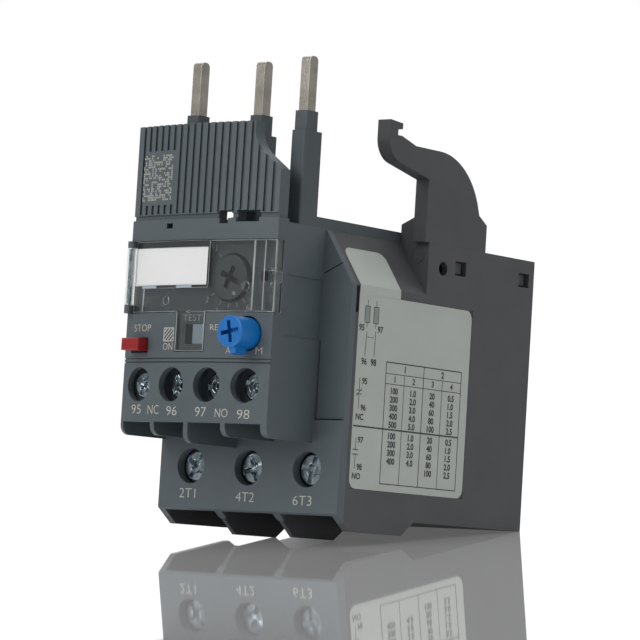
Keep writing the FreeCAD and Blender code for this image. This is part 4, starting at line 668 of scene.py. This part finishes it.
    def build(self) -> None:
        """Stick the film on and print it."""
        main = self.sheet(Surface.SIDE, self.low, self.high, self.sunk, "lrR")
        main.piece("label_film", LABEL_FILM, "housing")
        fold = self.sheet(Surface.SIDE, (self.tab[0], self.high[1] - 0.02), (self.tab[1], 48.62),
                          self.sunk_half, "")
        fold.piece("label_fold", LABEL_FILM, "housing")
        tab = self.sheet(Surface.FACET, (self.tab[0], -0.02), (self.tab[1], self.tab_top),
                         self.sunk_half, "LR")
        tab.piece("label_tab", LABEL_FILM, "housing")
        tint = Print(Surface.SIDE, -0.046, 0.012)
        ink = Print(Surface.SIDE, -0.045, 0.02)
        self.symbols(ink, tint)
        self.table(ink)
        tint.piece("label_tint", GREY_INK, "housing")
        ink.piece("label_print", DARK_INK, "housing")


@dataclass
class HousingMarks:
    """Small moulding marks of the housing."""

    ejector: tuple[float, float, float] = (19.9, 56.5, 1.6)
    ejector_width: float = 0.16

    def build(self) -> None:
        """Raise the ejector ring on the web behind the slope."""
        ring = Print(Surface.GUSSET, 0.0, 0.05)
        ring.ring(self.ejector[:2], self.ejector[2], self.ejector[2] - self.ejector_width)
        ring.piece("ejector_ring", REAR_GREY, "housing")


@dataclass
class Studio:
    """Floor, lamps, world and camera."""

    lens: float = 196.8
    eye: Point = (434.49, -501.43, -9.04)
    turn: Point = (-4.280, -2.173, 3.532)
    heading: float = 41.1
    floor_front: Pair = (32.7, 0.0)
    floor_back: Pair = (74.2, 4.34)
    backdrop_away: float = 3.0
    ambient: float = 0.3
    mirror_share: float = 0.9
    floor_lift: float = 0.09
    lamps: tuple[tuple[str, Point, float, float], ...] = (
        ("front box", (-150, -620, 420), 0.5, 3.0),
        ("side box", (640, 40, 420), 0.45, 0.9),
        ("top box", (40, 60, 700), 0.5, 1.7))

    def camera(self) -> None:
        """Set the camera where the product is seen from."""
        heading = math.radians(self.heading)
        ahead = Vector((-math.sin(heading), math.cos(heading), 0))
        right = Vector((math.cos(heading), math.sin(heading), 0))
        base = Matrix((right, Vector((0, 0, -1)), ahead))
        spin = Vector([math.radians(a) for a in self.turn])
        turned = Matrix.Rotation(spin.length, 3, spin) @ base
        data = bpy.data.cameras.new("product camera")
        data.lens = self.lens
        data.clip_start = 0.01
        camera = bpy.data.objects.new("product camera", data)
        axes = Matrix((turned[0], -turned[1], -turned[2])).transposed()
        camera.matrix_world = Matrix.Translation(place(*self.eye)) @ axes.to_4x4()
        bpy.context.scene.collection.objects.link(camera)
        bpy.context.scene.camera = camera

    def floor(self) -> None:
        """Lay the white floor under the edges that the relay leans back on."""
        (y0, z0), (y1, z1) = self.floor_front, self.floor_back
        slope = Matrix.Rotation(math.atan2(z1 - z0, y1 - y0), 4, "X")
        mesh = bmesh.new()
        bmesh.ops.create_grid(mesh, x_segments=1, y_segments=1, size=4.0,
                              matrix=Matrix.Translation(place(0, y0, z0)) @ slope)
        data = bpy.data.meshes.new("floor")
        mesh.to_mesh(data)
        mesh.free()
        data.materials.append(self.floor_material())
        floor = bpy.data.objects.new("floor", data)
        bpy.context.scene.collection.objects.link(floor)

    def floor_material(self) -> bpy.types.Material:
        """Polished white acrylic: white to the eye, with the shadow and a mirror image."""
        material = bpy.data.materials.new("polished white acrylic")
        material.use_nodes = True
        tree = material.node_tree
        tree.nodes.clear()
        white = add_node(tree, "ShaderNodeBsdfDiffuse", Color=linear("#F2F2F2"))
        mirror = add_node(tree, "ShaderNodeBsdfGlossy", Color=linear("#FFFFFF"), Roughness=0.03)
        polish = add_node(tree, "ShaderNodeMixShader",
                          {1: white.outputs["BSDF"], 2: mirror.outputs["BSDF"]}, Fac=self.mirror_share)
        lift = add_node(tree, "ShaderNodeEmission", Strength=self.floor_lift)
        both = add_node(tree, "ShaderNodeAddShader",
                        {0: polish.outputs["Shader"], 1: lift.outputs["Emission"]})
        add_node(tree, "ShaderNodeOutputMaterial", {"Surface": both.outputs["Shader"]})
        return material

    def backdrop(self) -> None:
        """Hang the bright white paper that the background and the floor's mirror image show."""
        material = bpy.data.materials.new("lit white paper")
        material.use_nodes = True
        tree = material.node_tree
        tree.nodes.clear()
        light = add_node(tree, "ShaderNodeEmission", Strength=1.0)
        add_node(tree, "ShaderNodeOutputMaterial", {"Surface": light.outputs["Emission"]})
        mesh = bmesh.new()
        heading = math.radians(self.heading)
        facing = Matrix.Rotation(heading, 4, "Z") @ Matrix.Rotation(math.pi / 2, 4, "X")
        away = Vector((-math.sin(heading), math.cos(heading), 0))
        bmesh.ops.create_grid(mesh, x_segments=1, y_segments=1, size=6.0,
                              matrix=Matrix.Translation(away * self.backdrop_away) @ facing)
        data = bpy.data.meshes.new("backdrop")
        mesh.to_mesh(data)
        mesh.free()
        data.materials.append(material)
        paper = bpy.data.objects.new("backdrop", data)
        bpy.context.scene.collection.objects.link(paper)

    def world(self) -> None:
        """Soft studio light with a white background behind the relay and in the floor."""
        world = bpy.data.worlds.new("studio")
        world.use_nodes = True
        tree = world.node_tree
        tree.nodes.clear()
        soft = add_node(tree, "ShaderNodeBackground", Color=(1, 1, 1, 1), Strength=self.ambient)
        white = add_node(tree, "ShaderNodeBackground", Color=(1, 1, 1, 1), Strength=1.0)
        path = add_node(tree, "ShaderNodeLightPath")
        mix = add_node(tree, "ShaderNodeMixShader", {0: path.outputs["Is Camera Ray"],
                                                     1: soft.outputs["Background"],
                                                     2: white.outputs["Background"]})
        add_node(tree, "ShaderNodeOutputWorld", {"Surface": mix.outputs["Shader"]})
        bpy.context.scene.world = world

    def lamp(self, name: str, eye: Point, size: float, watts: float) -> None:
        """Hang one square soft box aimed at the relay's middle."""
        data = bpy.data.lights.new(name, "AREA")
        data.shape = "SQUARE"
        data.size = size
        data.energy = watts
        lamp = bpy.data.objects.new(name, data)
        spot = place(*eye)
        aim = place(0, 35, 45) - spot
        lamp.matrix_world = Matrix.Translation(spot) @ aim.to_track_quat("-Z", "Y").to_matrix().to_4x4()
        bpy.context.scene.collection.objects.link(lamp)

    def build(self) -> None:
        """Set up everything round the relay."""
        self.camera()
        self.floor()
        self.backdrop()
        self.world()
        for lamp in self.lamps:
            self.lamp(*lamp)
        bpy.context.scene.view_settings.view_transform = "Standard"
        LOG.info("studio: %d lamps", len(self.lamps))


def main() -> None:
    """Dress the CAD parts, add the marks and the label, and light the relay."""
    logging.basicConfig(level=logging.INFO, format="%(message)s")
    dress_frame()
    for part in (FrontMarks(), DialScale(), CoverDetails(), ShroudPatch(), RatingLabel(), HousingMarks()):
        part.build()
    Studio().build()
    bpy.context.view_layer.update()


if __name__ == "__main__":
    main()
